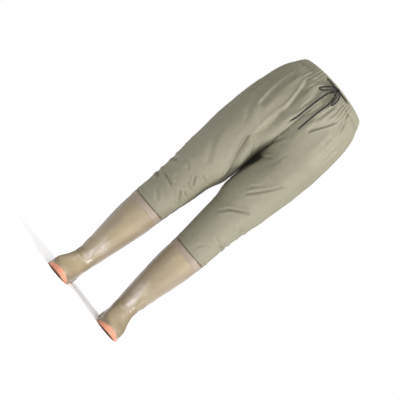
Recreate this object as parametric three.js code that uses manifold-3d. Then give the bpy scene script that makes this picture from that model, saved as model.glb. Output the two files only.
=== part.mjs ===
// Waist wader: waterproof cloth trousers, open at the waist, welded to a pair of moulded boots.
// It stands on its soles in the form that it has when worn. Millimetres, +Z up, toes towards -Y, and
// +X is the wearer's left. The origin is on the floor, under the middle of the whole.
import * as THREE from "three";
import { mergeVertices } from "three/addons/utils/BufferGeometryUtils.js";
import Module from "manifold-3d";

const wasm = await Module();
wasm.setup();

// Heights above the floor
const WAIST_HEIGHT = 1093; // top edge of the waistband
const CROTCH_HEIGHT = 764;
const THIGHS_PART_HEIGHT = 605; // below this the inner thighs stand apart
const KNEE_HEIGHT = 490;
const BOOT_HEIGHT = 372; // lower edge of the cloth, on the boot's shaft
const ANKLE_HEIGHT = 88; // the narrowest place of the boot

// Trousers
const WAIST_WIDTH = 272;
const WAIST_DEPTH = 212;
const HIP_WIDTH = 386;
const HIP_DEPTH = 278;
const KNEE_WIDTH = 148;
const KNEE_DEPTH = 179;
const KNEE_SPREAD = 195; // from the middle of one knee to the other
const HEM_WIDTH = 134;
const HEM_DEPTH = 156;
const THIGH_GAP = 3; // between the inner thighs
const CLOTH = 1; // wall of the coated cloth
const HEM_FOLD = 16; // height of the turned-up hem
const HEM_STEP = 0.6; // how far the hem stands out
const BAND_HEIGHT = 27; // drawstring casing at the waist
const BAND_WALL = 4;
const WAIST_DIP = 12; // how much lower the rim is at the sides than at the front
const BAND_SWELL = 1.2; // how far the filled casing stands out

// Boots
const STANCE = 207; // from the axis of one boot to the other
const TOE_OUT = THREE.MathUtils.degToRad(8);
const FOOT_LENGTH = 268; // outsole, heel to toe
const HEEL_REACH = 60; // from the leg's axis to the back of the outsole
const BALL_WIDTH = 96;
const ANKLE_WIDTH = 77;
const LAST_BEND = 6; // how far the toe turns towards the other foot
const BOOT_WALL = 2;
const LAP = 20; // how far the shaft reaches up inside the cloth
const COLLAR_HEIGHT = 26; // welded band round the shaft, under the hem
const COLLAR_WALL = 1.2;

// Soles
const SOLE_THICKNESS = 10; // at the ball
const HEEL_HEIGHT = 24;
const TOE_HEIGHT = 28; // top of the toe bumper
const TOE_SPRING = 7;
const SOLE_LIP = 1.6; // how far the sole stands out under the upper
const ARCH_RISE = 6; // clearance under the arch, in front of the heel
const LUG_HEIGHT = 3.2;
const LUG_PITCH = 14;
const LUG_GROOVE = 4.5;
const INSOLE_THICKNESS = 3;
const INSOLE_PLAY = 1.2; // between the insole's edge and the upper

// Drawstring
const CORD = 5; // diameter
const EYELET_SPREAD = 100; // between the two holes that it comes out of
const EYELET_DROP = 9; // from the band's top edge to the holes
const BOW_OFFSET = 9; // from the middle of the front to the knot, towards +X
const EYELET_CLEARANCE = 0.5;
const KNOT_WIDTH = 17;
const KNOT_HEIGHT = 11;
const KNOT_DEPTH = 9;
const BAR_STEPS = 8;
const FREE_STEPS = 17;

// Between pieces
const FIT = 0.3;

// Columns around a section: FRONT_STEPS for each front quarter and BACK_STEPS for each back quarter
const FRONT_STEPS = 5;
const BACK_STEPS = 7;
const BACK_EASE = 1.25; // the back quarters' columns are closer together beside the widest point
const ROUNDNESS = 2.2; // exponent of the sections' outline, where 2 is an ellipse
const CROTCH_CURVE = 1.3; // above 1, the two legs' sections grow together smoothly
const WAIST_COLUMNS = 36;
const CORD_SIDES = 8;

const RISE = WAIST_HEIGHT - BAND_HEIGHT - CROTCH_HEIGHT; // height of the cloth above the crotch
const SHAFT_WIDTH = HEM_WIDTH - 2 * (CLOTH + FIT);
const SHAFT_DEPTH = HEM_DEPTH - 2 * (CLOTH + FIT);
const TOE_REACH = FOOT_LENGTH - HEEL_REACH;
const SEAM_GAP = FIT / 2; // from the middle plane to the edge of each trouser half

const { lerp, clamp, smoothstep } = THREE.MathUtils;
const between = (low, high, share) => lerp(low, high, share);
const rounded = (v) => Math.sign(v) * Math.abs(v) ** (2 / ROUNDNESS);

// The cloth's sections from the waist down. side is the outer edge and inner the inner one, both
// from the middle plane; front and back are from the leg's axis. Above the crotch the two halves
// grow together, and inner is the middle seam.
const CLOTH_SECTIONS = [
  waistSection(WAIST_HEIGHT, SEAM_GAP, { side: 0.5, front: 0.51, back: 0.49 }),
  hipSection(riseAt(0.815), SEAM_GAP, { side: 0.441, front: 0.439, back: 0.425 }),
  hipSection(riseAt(0.58), SEAM_GAP, { side: 0.476, front: 0.468, back: 0.482 }),
  hipSection(riseAt(0.24), SEAM_GAP, { side: 0.4975, front: 0.482, back: 0.518 }),
  hipSection(CROTCH_HEIGHT, SEAM_GAP, { side: 0.5, front: 0.471, back: 0.489 }),
  hipSection(thighAt(0.22), THIGH_GAP / 2, { side: 0.48, front: 0.424, back: 0.378 }),
  hipSection(THIGHS_PART_HEIGHT, 1.5 * THIGH_GAP, { side: 0.474, front: 0.406, back: 0.36 }),
  hipSection(thighAt(-0.28), 0.085 * KNEE_SPREAD, { side: 0.46, front: 0.385, back: 0.34 }),
  legSection(KNEE_HEIGHT, KNEE_SPREAD, KNEE_WIDTH, KNEE_DEPTH, { front: 0.54, back: 0.46 }),
  legSection(BOOT_HEIGHT, STANCE, HEM_WIDTH, HEM_DEPTH, { front: 0.487, back: 0.513 }),
];

function hipSection(z, inner, share) {
  return {
    z,
    inner,
    side: share.side * HIP_WIDTH,
    front: share.front * HIP_DEPTH,
    back: share.back * HIP_DEPTH,
  };
}

function waistSection(z, inner, share) {
  return {
    z,
    inner,
    side: share.side * WAIST_WIDTH,
    front: share.front * WAIST_DEPTH,
    back: share.back * WAIST_DEPTH,
  };
}

function legSection(z, spread, width, depth, share) {
  return {
    z,
    inner: (spread - width) / 2,
    side: (spread + width) / 2,
    front: share.front * depth,
    back: share.back * depth,
  };
}

function riseAt(share) {
  return between(CROTCH_HEIGHT, WAIST_HEIGHT, share);
}

function thighAt(share) {
  return between(THIGHS_PART_HEIGHT, CROTCH_HEIGHT, share);
}

// A column of a table at a height, on a smooth curve through the rows that doesn't overshoot them.
function along(table, key, z) {
  const last = table.length - 1;
  const slope = (i) => (table[i + 1][key] - table[i][key]) / (table[i + 1].z - table[i].z);
  const tangent = (i) => {
    if (i === 0) return slope(0);
    if (i === last) return slope(last - 1);
    const [above, below] = [slope(i - 1), slope(i)];
    return above * below > 0 ? (2 * above * below) / (above + below) : 0;
  };
  let i = 0;
  while (i < last - 1 && z < table[i + 1].z) i++;
  const span = table[i + 1].z - table[i].z;
  const t = clamp((z - table[i].z) / span, 0, 1);
  const ease = t * t * (3 - 2 * t);
  const lead = t * (1 - t) ** 2;
  const trail = t * t * (t - 1);
  return lerp(table[i][key], table[i + 1][key], ease) + span * (lead * tangent(i) + trail * tangent(i + 1));
}

// The columns' turn around a section: 0 at the front, a quarter at +X, a half at the back.
function turns() {
  const quarter = Math.PI / 2;
  const right = [];
  for (let j = 0; j < FRONT_STEPS; j++) right.push((quarter * j) / FRONT_STEPS);
  for (let j = 0; j <= BACK_STEPS; j++) right.push(quarter * (1 + (j / BACK_STEPS) ** BACK_EASE));
  const left = right.slice(1).reverse().map((turn) => 2 * Math.PI - turn);
  return [...right, ...left];
}

const TURNS = turns();

// A closed geometry from quads and triangles of points, each turned outwards. side -1 mirrors it.
function geometryOf(faces, side = 1) {
  const points = faces.flatMap((face) => {
    const corners = face.map((p) => new THREE.Vector3(side * p.x, p.y, p.z));
    if (side < 0) corners.reverse();
    const [a, b, c, d] = corners;
    return d ? [a, b, c, a, c, d] : [a, b, c];
  });
  const geometry = new THREE.BufferGeometry().setFromPoints(points);
  geometry.computeVertexNormals();
  return geometry;
}

// The quads between two rings of points, the upper one first, facing outwards.
function wallBetween(upper, lower) {
  return upper.slice(1).map((p, j) => [upper[j], lower[j], lower[j + 1], p]);
}

const turnedOver = (faces) => faces.map((face) => [...face].reverse());

// A wall between an outer and an inner skin, each a list of rings from the top down. The ends of
// the first slit rings are apart, and those of the rest meet.
function shellFaces(outer, inner, slit = 0) {
  const faces = [];
  const last = outer.length - 1;
  for (let i = 0; i < last; i++) {
    faces.push(...wallBetween(outer[i], outer[i + 1]));
    faces.push(...turnedOver(wallBetween(inner[i], inner[i + 1])));
    if (i < slit) {
      const end = outer[i].length - 1;
      faces.push([outer[i][0], inner[i][0], inner[i + 1][0], outer[i + 1][0]]);
      faces.push([outer[i][end], outer[i + 1][end], inner[i + 1][end], inner[i][end]]);
    }
  }
  faces.push(...wallBetween(inner[0], outer[0]));
  faces.push(...wallBetween(outer[last], inner[last]));
  return faces;
}

// A lid over a ring that starts at the toe and runs the same on both sides, in strips across it.
function lidFaces(ring) {
  const count = ring.length - 1;
  const faces = [[ring[0], ring[1], ring[count - 1]]];
  for (let j = 1; j < count / 2 - 1; j++) {
    faces.push([ring[j], ring[j + 1], ring[count - j - 1], ring[count - j]]);
  }
  faces.push([ring[count / 2 - 1], ring[count / 2], ring[count / 2 + 1]]);
  return faces;
}

function solidOf(geometry) {
  const bare = geometry.index ? geometry.toNonIndexed() : geometry.clone();
  bare.deleteAttribute("normal");
  bare.deleteAttribute("uv");
  const merged = mergeVertices(bare, 1e-4);
  const mesh = new wasm.Mesh({
    numProp: 3,
    vertProperties: new Float32Array(merged.attributes.position.array),
    triVerts: new Uint32Array(merged.index.array),
  });
  return new wasm.Manifold(mesh);
}

function geometryFrom(solid) {
  const mesh = solid.getMesh();
  const geometry = new THREE.BufferGeometry();
  geometry.setAttribute("position", new THREE.BufferAttribute(mesh.vertProperties, 3));
  geometry.setIndex(new THREE.BufferAttribute(mesh.triVerts, 1));
  const flat = geometry.toNonIndexed();
  flat.computeVertexNormals();
  return flat;
}

// Trousers

// One trouser half's section at a height, inset from the cloth's outer face. reach is half of the
// turn that the half goes round: a quarter turn at the waist, a half turn at the crotch and below.
function clothSection(z, inset) {
  const side = along(CLOTH_SECTIONS, "side", z);
  const front = along(CLOTH_SECTIONS, "front", z);
  const back = along(CLOTH_SECTIONS, "back", z);
  const joined = clamp((z - CROTCH_HEIGHT) / RISE, 0, 1) ** CROTCH_CURVE;
  const inner = joined > 0 ? SEAM_GAP : along(CLOTH_SECTIONS, "inner", z);
  const half = (side - inner) / (2 - joined);
  const middle = side - half;
  const cut = clamp((middle - inner) / (half - inset), 0, 1);
  return {
    z,
    middle,
    half: half - inset,
    centre: (back - front) / 2,
    depth: (front + back) / 2 - inset,
    reach: Math.PI - Math.acos(cut ** (ROUNDNESS / 2)),
  };
}

function clothRing(z, inset, closed) {
  const section = clothSection(z, inset);
  const reach = closed ? Math.PI : section.reach;
  const start = 3 * (Math.PI / 2); // the columns start at the inner side
  const first = TURNS.findIndex((turn) => Math.abs(turn - start) < 1e-9);
  const count = TURNS.length - 1;
  const ring = [];
  for (let j = 0; j <= count; j++) {
    const turn = TURNS[(first + j) % count] - (j < count - first ? 2 * Math.PI : 0);
    const angle = j === count ? Math.PI : turn - Math.PI / 2;
    const share = angle / Math.PI;
    const x = section.middle + section.half * rounded(Math.cos(share * reach));
    const y = section.centre + section.depth * rounded(Math.sin(share * reach));
    ring.push(new THREE.Vector3(x, y, section.z - rimDrop(x, z)));
  }
  return ring;
}

// Heights of the cloth's rings: shares of the rise down to the crotch, then of the leg to the hem
const RISE_RINGS = [1, 0.88, 0.76, 0.6, 0.45, 0.3, 0.18, 0.095, 0.035];
const LEG_RINGS = [0.9, 0.76, 0.63, 0.51, 0.4, 0.27, 0.14];

function trouserHalf(side) {
  const nearCrotch = 0.3; // share of the rise over which the inner skin's rings are lifted
  const crotchHalf = clothSection(CROTCH_HEIGHT, 0).half;
  const lift = (RISE * CLOTH) / crotchHalf; // the inner skin's crotch lies this much higher
  const outer = [];
  const inner = [];
  for (const share of RISE_RINGS) {
    const z = CROTCH_HEIGHT + RISE * share - (share === 1 ? FIT : 0);
    outer.push(clothRing(z, 0, false));
    inner.push(clothRing(z + lift * clamp(1 - share / nearCrotch, 0, 1), CLOTH, false));
  }
  outer.push(clothRing(CROTCH_HEIGHT, 0, true));
  inner.push(clothRing(CROTCH_HEIGHT + lift, CLOTH, true));
  for (const share of LEG_RINGS) {
    const z = between(BOOT_HEIGHT, CROTCH_HEIGHT, share);
    outer.push(clothRing(z, 0, true));
    inner.push(clothRing(z, CLOTH, true));
  }
  const hemTop = BOOT_HEIGHT + HEM_FOLD;
  outer.push(clothRing(hemTop + HEM_STEP, 0, true), clothRing(hemTop, -HEM_STEP, true));
  inner.push(clothRing(hemTop + HEM_STEP, CLOTH, true), clothRing(hemTop, CLOTH, true));
  outer.push(clothRing(BOOT_HEIGHT, -HEM_STEP, true));
  inner.push(clothRing(BOOT_HEIGHT, CLOTH, true));
  return geometryOf(shellFaces(outer, inner, RISE_RINGS.length), side);
}

// How much lower the cloth is than it would be with a level rim
function rimDrop(x, z) {
  const raised = smoothstep(z, CROTCH_HEIGHT + RISE / 2, CROTCH_HEIGHT + RISE);
  return WAIST_DIP * ((2 * x) / WAIST_WIDTH) ** 2 * raised;
}

// The waistband's ring at a height, out from the cloth's own face
function waistPoint(turn, z, out) {
  const front = along(CLOTH_SECTIONS, "front", z);
  const back = along(CLOTH_SECTIONS, "back", z);
  const x = (along(CLOTH_SECTIONS, "side", z) + out) * rounded(Math.sin(turn));
  const y = (back - front) / 2 - ((front + back) / 2 + out) * rounded(Math.cos(turn));
  return new THREE.Vector3(x, y, z - rimDrop(x, z));
}

function waistRing(z, out) {
  const ring = [];
  for (let j = 0; j <= WAIST_COLUMNS; j++) {
    ring.push(waistPoint((2 * Math.PI * (j % WAIST_COLUMNS)) / WAIST_COLUMNS, z, out));
  }
  return ring;
}

// The turn at which the waistband's face has a given x, in front
const turnAt = (x, z, out) => {
  const share = x / (along(CLOTH_SECTIONS, "side", z) + out);
  return Math.asin(Math.sign(share) * Math.abs(share) ** (ROUNDNESS / 2));
};

const CORD_HEIGHT = WAIST_HEIGHT - EYELET_DROP;
const EYELETS = [BOW_OFFSET - EYELET_SPREAD / 2, BOW_OFFSET + EYELET_SPREAD / 2];

function waistband() {
  const low = WAIST_HEIGHT - BAND_HEIGHT;
  const edge = BAND_HEIGHT * 0.16; // height of each rounded edge
  const outer = [
    waistRing(WAIST_HEIGHT, 0),
    waistRing(WAIST_HEIGHT - edge, BAND_SWELL),
    waistRing(low + edge, BAND_SWELL),
    waistRing(low, 0),
  ];
  const inner = [waistRing(WAIST_HEIGHT, -BAND_WALL), waistRing(WAIST_HEIGHT - edge, -BAND_WALL)];
  inner.push(waistRing(low + edge, -BAND_WALL), waistRing(low, -BAND_WALL));
  let band = solidOf(geometryOf(shellFaces(outer, inner)));
  for (const eyelet of EYELETS) {
    const route = barRoute(eyelet);
    route[0].addScaledVector(route[0].clone().sub(route[1]).normalize(), EYELET_CLEARANCE);
    const hole = cordGeometry(route, BAR_STEPS, CORD + 2 * EYELET_CLEARANCE);
    band = band.subtract(solidOf(hole));
  }
  return geometryFrom(band);
}

// Boots

// Shares along the foot, from the back of the outsole (0) to the toe (1)
const HEEL_FRONT = 0.25;
const BALL_BACK = 0.54;
const TOE_BACK = 0.78;

const footShare = (y) => (HEEL_REACH - y) / FOOT_LENGTH;

// The line where upper and sole meet: up at the heel, low at the ball, and up over the toe
function soleTop(y) {
  const s = footShare(y);
  const heel = (HEEL_HEIGHT - SOLE_THICKNESS) * (1 - smoothstep(s, HEEL_FRONT * 0.6, BALL_BACK));
  const toe = (TOE_HEIGHT - SOLE_THICKNESS) * clamp((s - TOE_BACK) / (1 - TOE_BACK), 0, 1) ** 2;
  return SOLE_THICKNESS + heel + toe;
}

function groundLine(y) {
  return TOE_SPRING * clamp((footShare(y) - TOE_BACK) / (1 - TOE_BACK), 0, 1) ** 2;
}

// The boot's sections from the top down. half, front and back are from the leg's axis, and wide is
// where the section is widest. follow is how far a section follows the sole line, and arch how
// much it is drawn in at the waist of the foot.
const SHAFT_SECTIONS = [
  { z: BOOT_HEIGHT + LAP, width: 1, front: 0.487, back: 0.513 },
  { z: BOOT_HEIGHT - FIT, width: 1, front: 0.487, back: 0.513 },
  { z: BOOT_HEIGHT - FIT - COLLAR_HEIGHT, width: 0.992, front: 0.474, back: 0.508 },
  { z: shaftAt(0.76), width: 0.968, front: 0.458, back: 0.502 },
  { z: shaftAt(0.56), width: 0.885, front: 0.432, back: 0.472 },
  { z: shaftAt(0.38), width: 0.79, front: 0.402, back: 0.418 },
  { z: shaftAt(0.22), width: 0.7, front: 0.382, back: 0.362 },
  { z: shaftAt(0.1), width: 0.635, front: 0.388, back: 0.332 },
].map((row) => ({
  z: row.z,
  half: (row.width * SHAFT_WIDTH) / 2,
  front: row.front * SHAFT_DEPTH,
  back: row.back * SHAFT_DEPTH,
  wide: ((row.back - row.front) * SHAFT_DEPTH) / 2,
  follow: 0,
  arch: 0,
}));

const FOOT_SECTIONS = [
  { up: 1.0, ankle: 1, front: 0.34, back: 0.85, wide: 0.1, follow: 0, arch: 0 },
  { up: 0.89, ankle: 0.95, front: 0.4, back: 0.88, wide: 0.16, follow: 0, arch: 0 },
  { up: 0.79, ankle: 0.8, front: 0.465, back: 0.91, wide: 0.24, follow: 0.04, arch: 0.02 },
  { up: 0.68, ankle: 0.6, front: 0.545, back: 0.935, wide: 0.34, follow: 0.1, arch: 0.06 },
  { up: 0.59, ankle: 0.45, front: 0.635, back: 0.955, wide: 0.43, follow: 0.16, arch: 0.1 },
  { up: 0.5, ankle: 0.3, front: 0.735, back: 0.97, wide: 0.5, follow: 0.24, arch: 0.14 },
  { up: 0.42, ankle: 0.19, front: 0.83, back: 0.98, wide: 0.55, follow: 0.36, arch: 0.18 },
  { up: 0.33, ankle: 0.1, front: 0.905, back: 0.99, wide: 0.575, follow: 0.5, arch: 0.21 },
  { up: 0.22, ankle: 0.03, front: 0.958, back: 0.997, wide: 0.585, follow: 0.7, arch: 0.23 },
  { up: 0.1, ankle: 0, front: 0.986, back: 1, wide: 0.59, follow: 0.9, arch: 0.25 },
  { up: 0, ankle: 0.01, front: 0.99, back: 0.995, wide: 0.59, follow: 1, arch: 0.26 },
].map((row) => ({
  z: row.up * ANKLE_HEIGHT,
  half: between(BALL_WIDTH / 2, ANKLE_WIDTH / 2, row.ankle) - SOLE_LIP * (1 - row.ankle),
  front: row.front * (TOE_REACH - SOLE_LIP),
  back: row.back * (HEEL_REACH - SOLE_LIP),
  wide: -row.wide * TOE_REACH,
  follow: row.follow,
  arch: row.arch,
}));

const BOOT_SECTIONS = [...SHAFT_SECTIONS, ...FOOT_SECTIONS];
const SOLE_SECTION = BOOT_SECTIONS[BOOT_SECTIONS.length - 1];

function shaftAt(share) {
  return between(ANKLE_HEIGHT, BOOT_HEIGHT, share);
}

// How much the foot turns outwards at a height: all at the ankle, nothing high on the shaft
const footTurn = (z) => TOE_OUT * (1 - smoothstep(z, ANKLE_HEIGHT, shaftAt(0.6)));

// A point of a boot's section, out from the section's own face, turned and set under the leg
function bootPoint(section, turn, out, height) {
  const forward = rounded(Math.cos(turn));
  const sideways = rounded(Math.sin(turn));
  const reach = forward > 0 ? -section.front - section.wide - out : section.wide - section.back - out;
  const y = section.wide + Math.abs(forward) * (forward > 0 ? reach : -reach);
  const toeShare = clamp((-y - 0.5 * TOE_REACH) / (0.5 * TOE_REACH), 0, 1);
  const bend = -LAST_BEND * toeShare ** 2 * clamp(section.follow * 2, 0, 1);
  const waist = section.arch * Math.exp(-(((footShare(y) - 0.4) / 0.17) ** 2));
  const drawn = sideways < 0 ? 1 - waist : 1 - 0.45 * waist;
  const x = (section.half + out) * sideways * drawn + bend;
  const z = height ?? section.z + section.follow * soleTop(y);
  const angle = footTurn(z);
  return new THREE.Vector3(
    STANCE / 2 + x * Math.cos(angle) - y * Math.sin(angle),
    x * Math.sin(angle) + y * Math.cos(angle),
    z,
  );
}

const bootRing = (section, out, height) =>
  [...TURNS.slice(0, -1), 0].map((turn) => bootPoint(section, turn, out, height));

function bootUpper(side) {
  const outer = BOOT_SECTIONS.map((section) => bootRing(section, 0));
  const inner = outer.map((ring, i) => ring.map((p, j) => insetPoint(outer, i, j, BOOT_WALL)));
  return geometryOf(shellFaces(outer, inner), side);
}

// A point of a skin moved inwards by a wall, square to the skin, and level at the two open ends
function insetPoint(rings, i, j, wall) {
  const last = rings.length - 1;
  const count = rings[i].length - 1;
  const above = rings[Math.max(i - 1, 0)][j];
  const below = rings[Math.min(i + 1, last)][j];
  const before = rings[i][(j + count - 1) % count];
  const after = rings[i][(j + 1) % count];
  const across = new THREE.Vector3().subVectors(after, before);
  const upright = i === 0 || i === last;
  const down = upright ? new THREE.Vector3(0, 0, -1) : new THREE.Vector3().subVectors(below, above);
  const normal = down.cross(across);
  if (upright) normal.z = 0;
  return rings[i][j].clone().addScaledVector(normal.normalize(), -wall);
}

function collarBand(side) {
  const [top, low] = [SHAFT_SECTIONS[1], SHAFT_SECTIONS[2]];
  const outer = [top, low].map((section) => bootRing(section, FIT + COLLAR_WALL));
  const inner = [top, low].map((section) => bootRing(section, FIT));
  return geometryOf(shellFaces(outer, inner), side);
}

// Soles

// The outsole's side from its top edge down: share of the thickness, and how far out it stands
const SOLE_SIDE = [
  { down: 0, out: SOLE_LIP * 0.8 },
  { down: 0.14, out: SOLE_LIP },
  { down: 0.3, out: SOLE_LIP },
  { down: 0.38, out: SOLE_LIP * 0.35 },
  { down: 0.56, out: SOLE_LIP * 0.35 },
  { down: 0.64, out: SOLE_LIP },
  { down: 0.88, out: SOLE_LIP * 0.9 },
  { down: 1, out: -0.5 * SOLE_LIP },
];

function soleBlank() {
  const rings = SOLE_SIDE.map(({ down, out }) =>
    TURNS_CLOSED.map((turn) => {
      const edge = bootPoint(SOLE_SECTION, turn, out, 0);
      const y = footY(turn, out);
      edge.z = between(soleTop(y) - FIT, groundLine(y), down);
      return edge;
    }),
  );
  const faces = rings.slice(1).flatMap((ring, i) => wallBetween(rings[i], ring));
  faces.push(...lidFaces(rings[0]), ...turnedOver(lidFaces(rings[rings.length - 1])));
  return geometryOf(faces);
}

function outsole(side) {
  let sole = solidOf(soleBlank());
  for (const cutter of [archCutter(), ...grooveCutters()]) sole = sole.subtract(solidOf(cutter));
  return mirrored(geometryFrom(sole), side);
}

const TURNS_CLOSED = [...TURNS.slice(0, -1), 0];

// How far along the foot a turn of the sole line lies, before the foot is turned out
function footY(turn, out) {
  const forward = rounded(Math.cos(turn));
  const { wide, front, back } = SOLE_SECTION;
  return forward > 0 ? wide - forward * (front + wide + out) : wide - forward * (back - wide + out);
}

function mirrored(geometry, side) {
  if (side > 0) return geometry;
  const points = geometry.attributes.position;
  const faces = [];
  for (let i = 0; i < points.count; i += 3) {
    faces.push([0, 1, 2].map((k) => new THREE.Vector3().fromBufferAttribute(points, i + k)));
  }
  return geometryOf(faces, side);
}

// Puts a cutter that was made along the foot where the turned foot is
function underFoot(geometry) {
  geometry.rotateZ(TOE_OUT);
  return geometry.translate(STANCE / 2, 0, 0);
}

// The hollow under the arch: upright at the heel's breast and run out towards the ball
function archCutter() {
  const breast = HEEL_REACH - HEEL_FRONT * FOOT_LENGTH;
  const ball = HEEL_REACH - BALL_BACK * FOOT_LENGTH;
  const profile = new THREE.Shape([
    new THREE.Vector2(breast, -ARCH_RISE),
    new THREE.Vector2(breast, ARCH_RISE * 0.85),
    new THREE.Vector2(breast - ARCH_RISE * 0.6, ARCH_RISE),
    new THREE.Vector2(between(breast, ball, 0.45), ARCH_RISE * 0.8),
    new THREE.Vector2(ball, 0),
    new THREE.Vector2(ball, -ARCH_RISE),
  ]);
  const cutter = new THREE.ExtrudeGeometry(profile, { depth: 2 * BALL_WIDTH, bevelEnabled: false });
  cutter.translate(0, 0, -BALL_WIDTH);
  cutter.rotateX(Math.PI / 2).rotateZ(Math.PI / 2);
  return underFoot(cutter);
}

// Chevron grooves between the lugs, under the forefoot and under the heel
function grooveCutters() {
  const cutters = [];
  const first = HEEL_REACH - BALL_BACK * FOOT_LENGTH - LUG_PITCH;
  const last = HEEL_REACH - 0.93 * FOOT_LENGTH;
  for (let y = first; y > last; y -= LUG_PITCH) cutters.push(chevron(y, groundLine(y)));
  const heelFirst = HEEL_REACH - LUG_PITCH * 1.2;
  const heelLast = HEEL_REACH - HEEL_FRONT * FOOT_LENGTH + LUG_PITCH * 0.8;
  for (let y = heelFirst; y > heelLast; y -= LUG_PITCH) cutters.push(chevron(y, 0));
  return cutters;
}

function chevron(y, ground) {
  const wing = BALL_WIDTH * 0.75;
  const sweep = LUG_PITCH * 0.7;
  const half = LUG_GROOVE / 2;
  const outline = new THREE.Shape([
    new THREE.Vector2(-wing, sweep - half),
    new THREE.Vector2(0, -half),
    new THREE.Vector2(wing, sweep - half),
    new THREE.Vector2(wing, sweep + half),
    new THREE.Vector2(0, half),
    new THREE.Vector2(-wing, sweep + half),
  ]);
  const below = 2 * TOE_SPRING;
  const depth = below + ground + LUG_HEIGHT;
  const groove = new THREE.ExtrudeGeometry(outline, { depth, bevelEnabled: false });
  return underFoot(groove.translate(0, y, -below));
}

// The insole, cut underneath by the sole that it lies on
function insole(side) {
  const edge = bootRing(SOLE_SECTION, 0);
  const ringAt = (rise) =>
    edge.map((p, j) => {
      const point = insetPoint([edge], 0, j, BOOT_WALL + INSOLE_PLAY);
      point.z += rise;
      return point;
    });
  const top = ringAt(INSOLE_THICKNESS);
  const bottom = ringAt(-INSOLE_THICKNESS);
  const slab = geometryOf([...wallBetween(top, bottom), ...lidFaces(top), ...turnedOver(lidFaces(bottom))]);
  const cut = solidOf(slab).subtract(solidOf(soleBlank().translate(0, 0, FIT)));
  return mirrored(geometryFrom(cut), side);
}

// Drawstring

const KNOT = knotPlace();

function knotPlace() {
  const out = BAND_SWELL + FIT + KNOT_DEPTH / 2;
  return waistPoint(turnAt(BOW_OFFSET, CORD_HEIGHT, out), CORD_HEIGHT, out);
}

// A round cord along points, as a smooth curve
function cordGeometry(points, steps, diameter = CORD) {
  const round = new THREE.Shape();
  for (let k = 0; k < CORD_SIDES; k++) {
    const angle = (2 * Math.PI * k) / CORD_SIDES;
    const corner = [(diameter / 2) * Math.cos(angle), (diameter / 2) * Math.sin(angle)];
    if (k === 0) round.moveTo(...corner);
    else round.lineTo(...corner);
  }
  const extrudePath = new THREE.CatmullRomCurve3(points);
  return new THREE.ExtrudeGeometry(round, { steps, extrudePath, bevelEnabled: false });
}

// The way of the cord out of its hole in the band and along the band's face to the knot's side
function barRoute(eyelet) {
  const end = BOW_OFFSET + Math.sign(eyelet - BOW_OFFSET) * (KNOT_WIDTH / 2 + FIT);
  const lying = BAND_SWELL + 2 * FIT + CORD / 2;
  const route = [
    { share: -0.1, out: -0.5 * BAND_WALL },
    { share: 0, out: 0 },
    { share: 0.14, out: lying },
    { share: 0.4, out: lying },
    { share: 0.7, out: lying },
    { share: 1, out: lying },
  ];
  return route.map(({ share, out }) => {
    const x = between(eyelet, end, share);
    return waistPoint(turnAt(x, CORD_HEIGHT, out), CORD_HEIGHT, out);
  });
}

// The knot: a crossing turn of cord over two lying ones
function knot() {
  const crossing = new THREE.TorusGeometry((KNOT_HEIGHT - CORD) / 2, CORD / 2, CORD_SIDES, 10);
  crossing.rotateY(Math.PI / 2).rotateZ(0.25);
  crossing.scale(1, KNOT_DEPTH / KNOT_HEIGHT, 1);
  const core = new THREE.SphereGeometry(1, 10, 6);
  core.scale(KNOT_WIDTH / 2, 0.5 * KNOT_DEPTH, 0.5 * KNOT_HEIGHT);
  const joined = solidOf(core).add(solidOf(crossing));
  return geometryFrom(joined).translate(KNOT.x, KNOT.y, KNOT.z);
}

// Free cords, as points from the middle of the knot: x, y and z
const END_RIGHT = [
  [-2.7, -1.2, -6],
  [-4.2, -3.6, -10.4],
  [-8.5, -7.5, -20],
  [-12.5, -10.5, -34],
  [-16, -14.5, -62],
  [-18, -19.5, -100],
  [-19, -23.5, -140],
  [-20, -25, -165],
  [-24, -26, -186],
];
const END_LEFT = [
  [2.4, -0.8, -5.9],
  [4.2, -3.6, -10.4],
  [9, -7.5, -20],
  [13, -10.5, -34],
  [15.5, -14.5, -60],
  [14, -19.5, -98],
  [13, -23.5, -140],
  [13.5, -25, -162],
  [14, -26, -184],
];
const LOOP_RIGHT = [
  [-8.8, -4.2, 0.6],
  [-18, -6, -5.5],
  [-27.5, -8.3, -15.5],
  [-35, -10.9, -25.5],
  [-40.9, -13.5, -33.7],
  [-44.4, -16.6, -39.4],
  [-43.8, -22.1, -43.8],
  [-39.1, -27.3, -44.4],
  [-32.9, -29.5, -40.7],
  [-26.3, -28, -33],
  [-19.5, -22.5, -23],
  [-13.2, -13.3, -12],
  [-8.4, -6, -4.9],
];
const LOOP_LEFT = [
  [8.6, -4.2, 0.6],
  [17.5, -6.5, -7],
  [24.5, -9, -20],
  [27.5, -12.5, -34],
  [27, -18, -45.5],
  [24, -25, -50],
  [20, -29.5, -44],
  [17.5, -28, -32],
  [15, -22, -20.5],
  [12, -13.5, -11.5],
  [8.4, -6, -4.9],
];

const fromKnot = (route) => route.map((p) => new THREE.Vector3(...p).add(KNOT));

// The whole

const finish = (color, roughness) => new THREE.MeshStandardMaterial({ color, roughness, metalness: 0 });
const clothFinish = finish(0xa3a08a, 0.62);
const bandFinish = finish(0xa09d86, 0.7);
const bootFinish = finish(0xb8a684, 0.32);
const collarFinish = finish(0xbfae9c, 0.4);
const soleFinish = finish(0xe0946a, 0.45);
const insoleFinish = finish(0xcfc6b4, 0.9);
const cordFinish = finish(0x26222b, 0.8);

const wader = new THREE.Group();

function place(name, geometry, material) {
  const mesh = new THREE.Mesh(geometry, material);
  mesh.name = name;
  wader.add(mesh);
}

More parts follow.
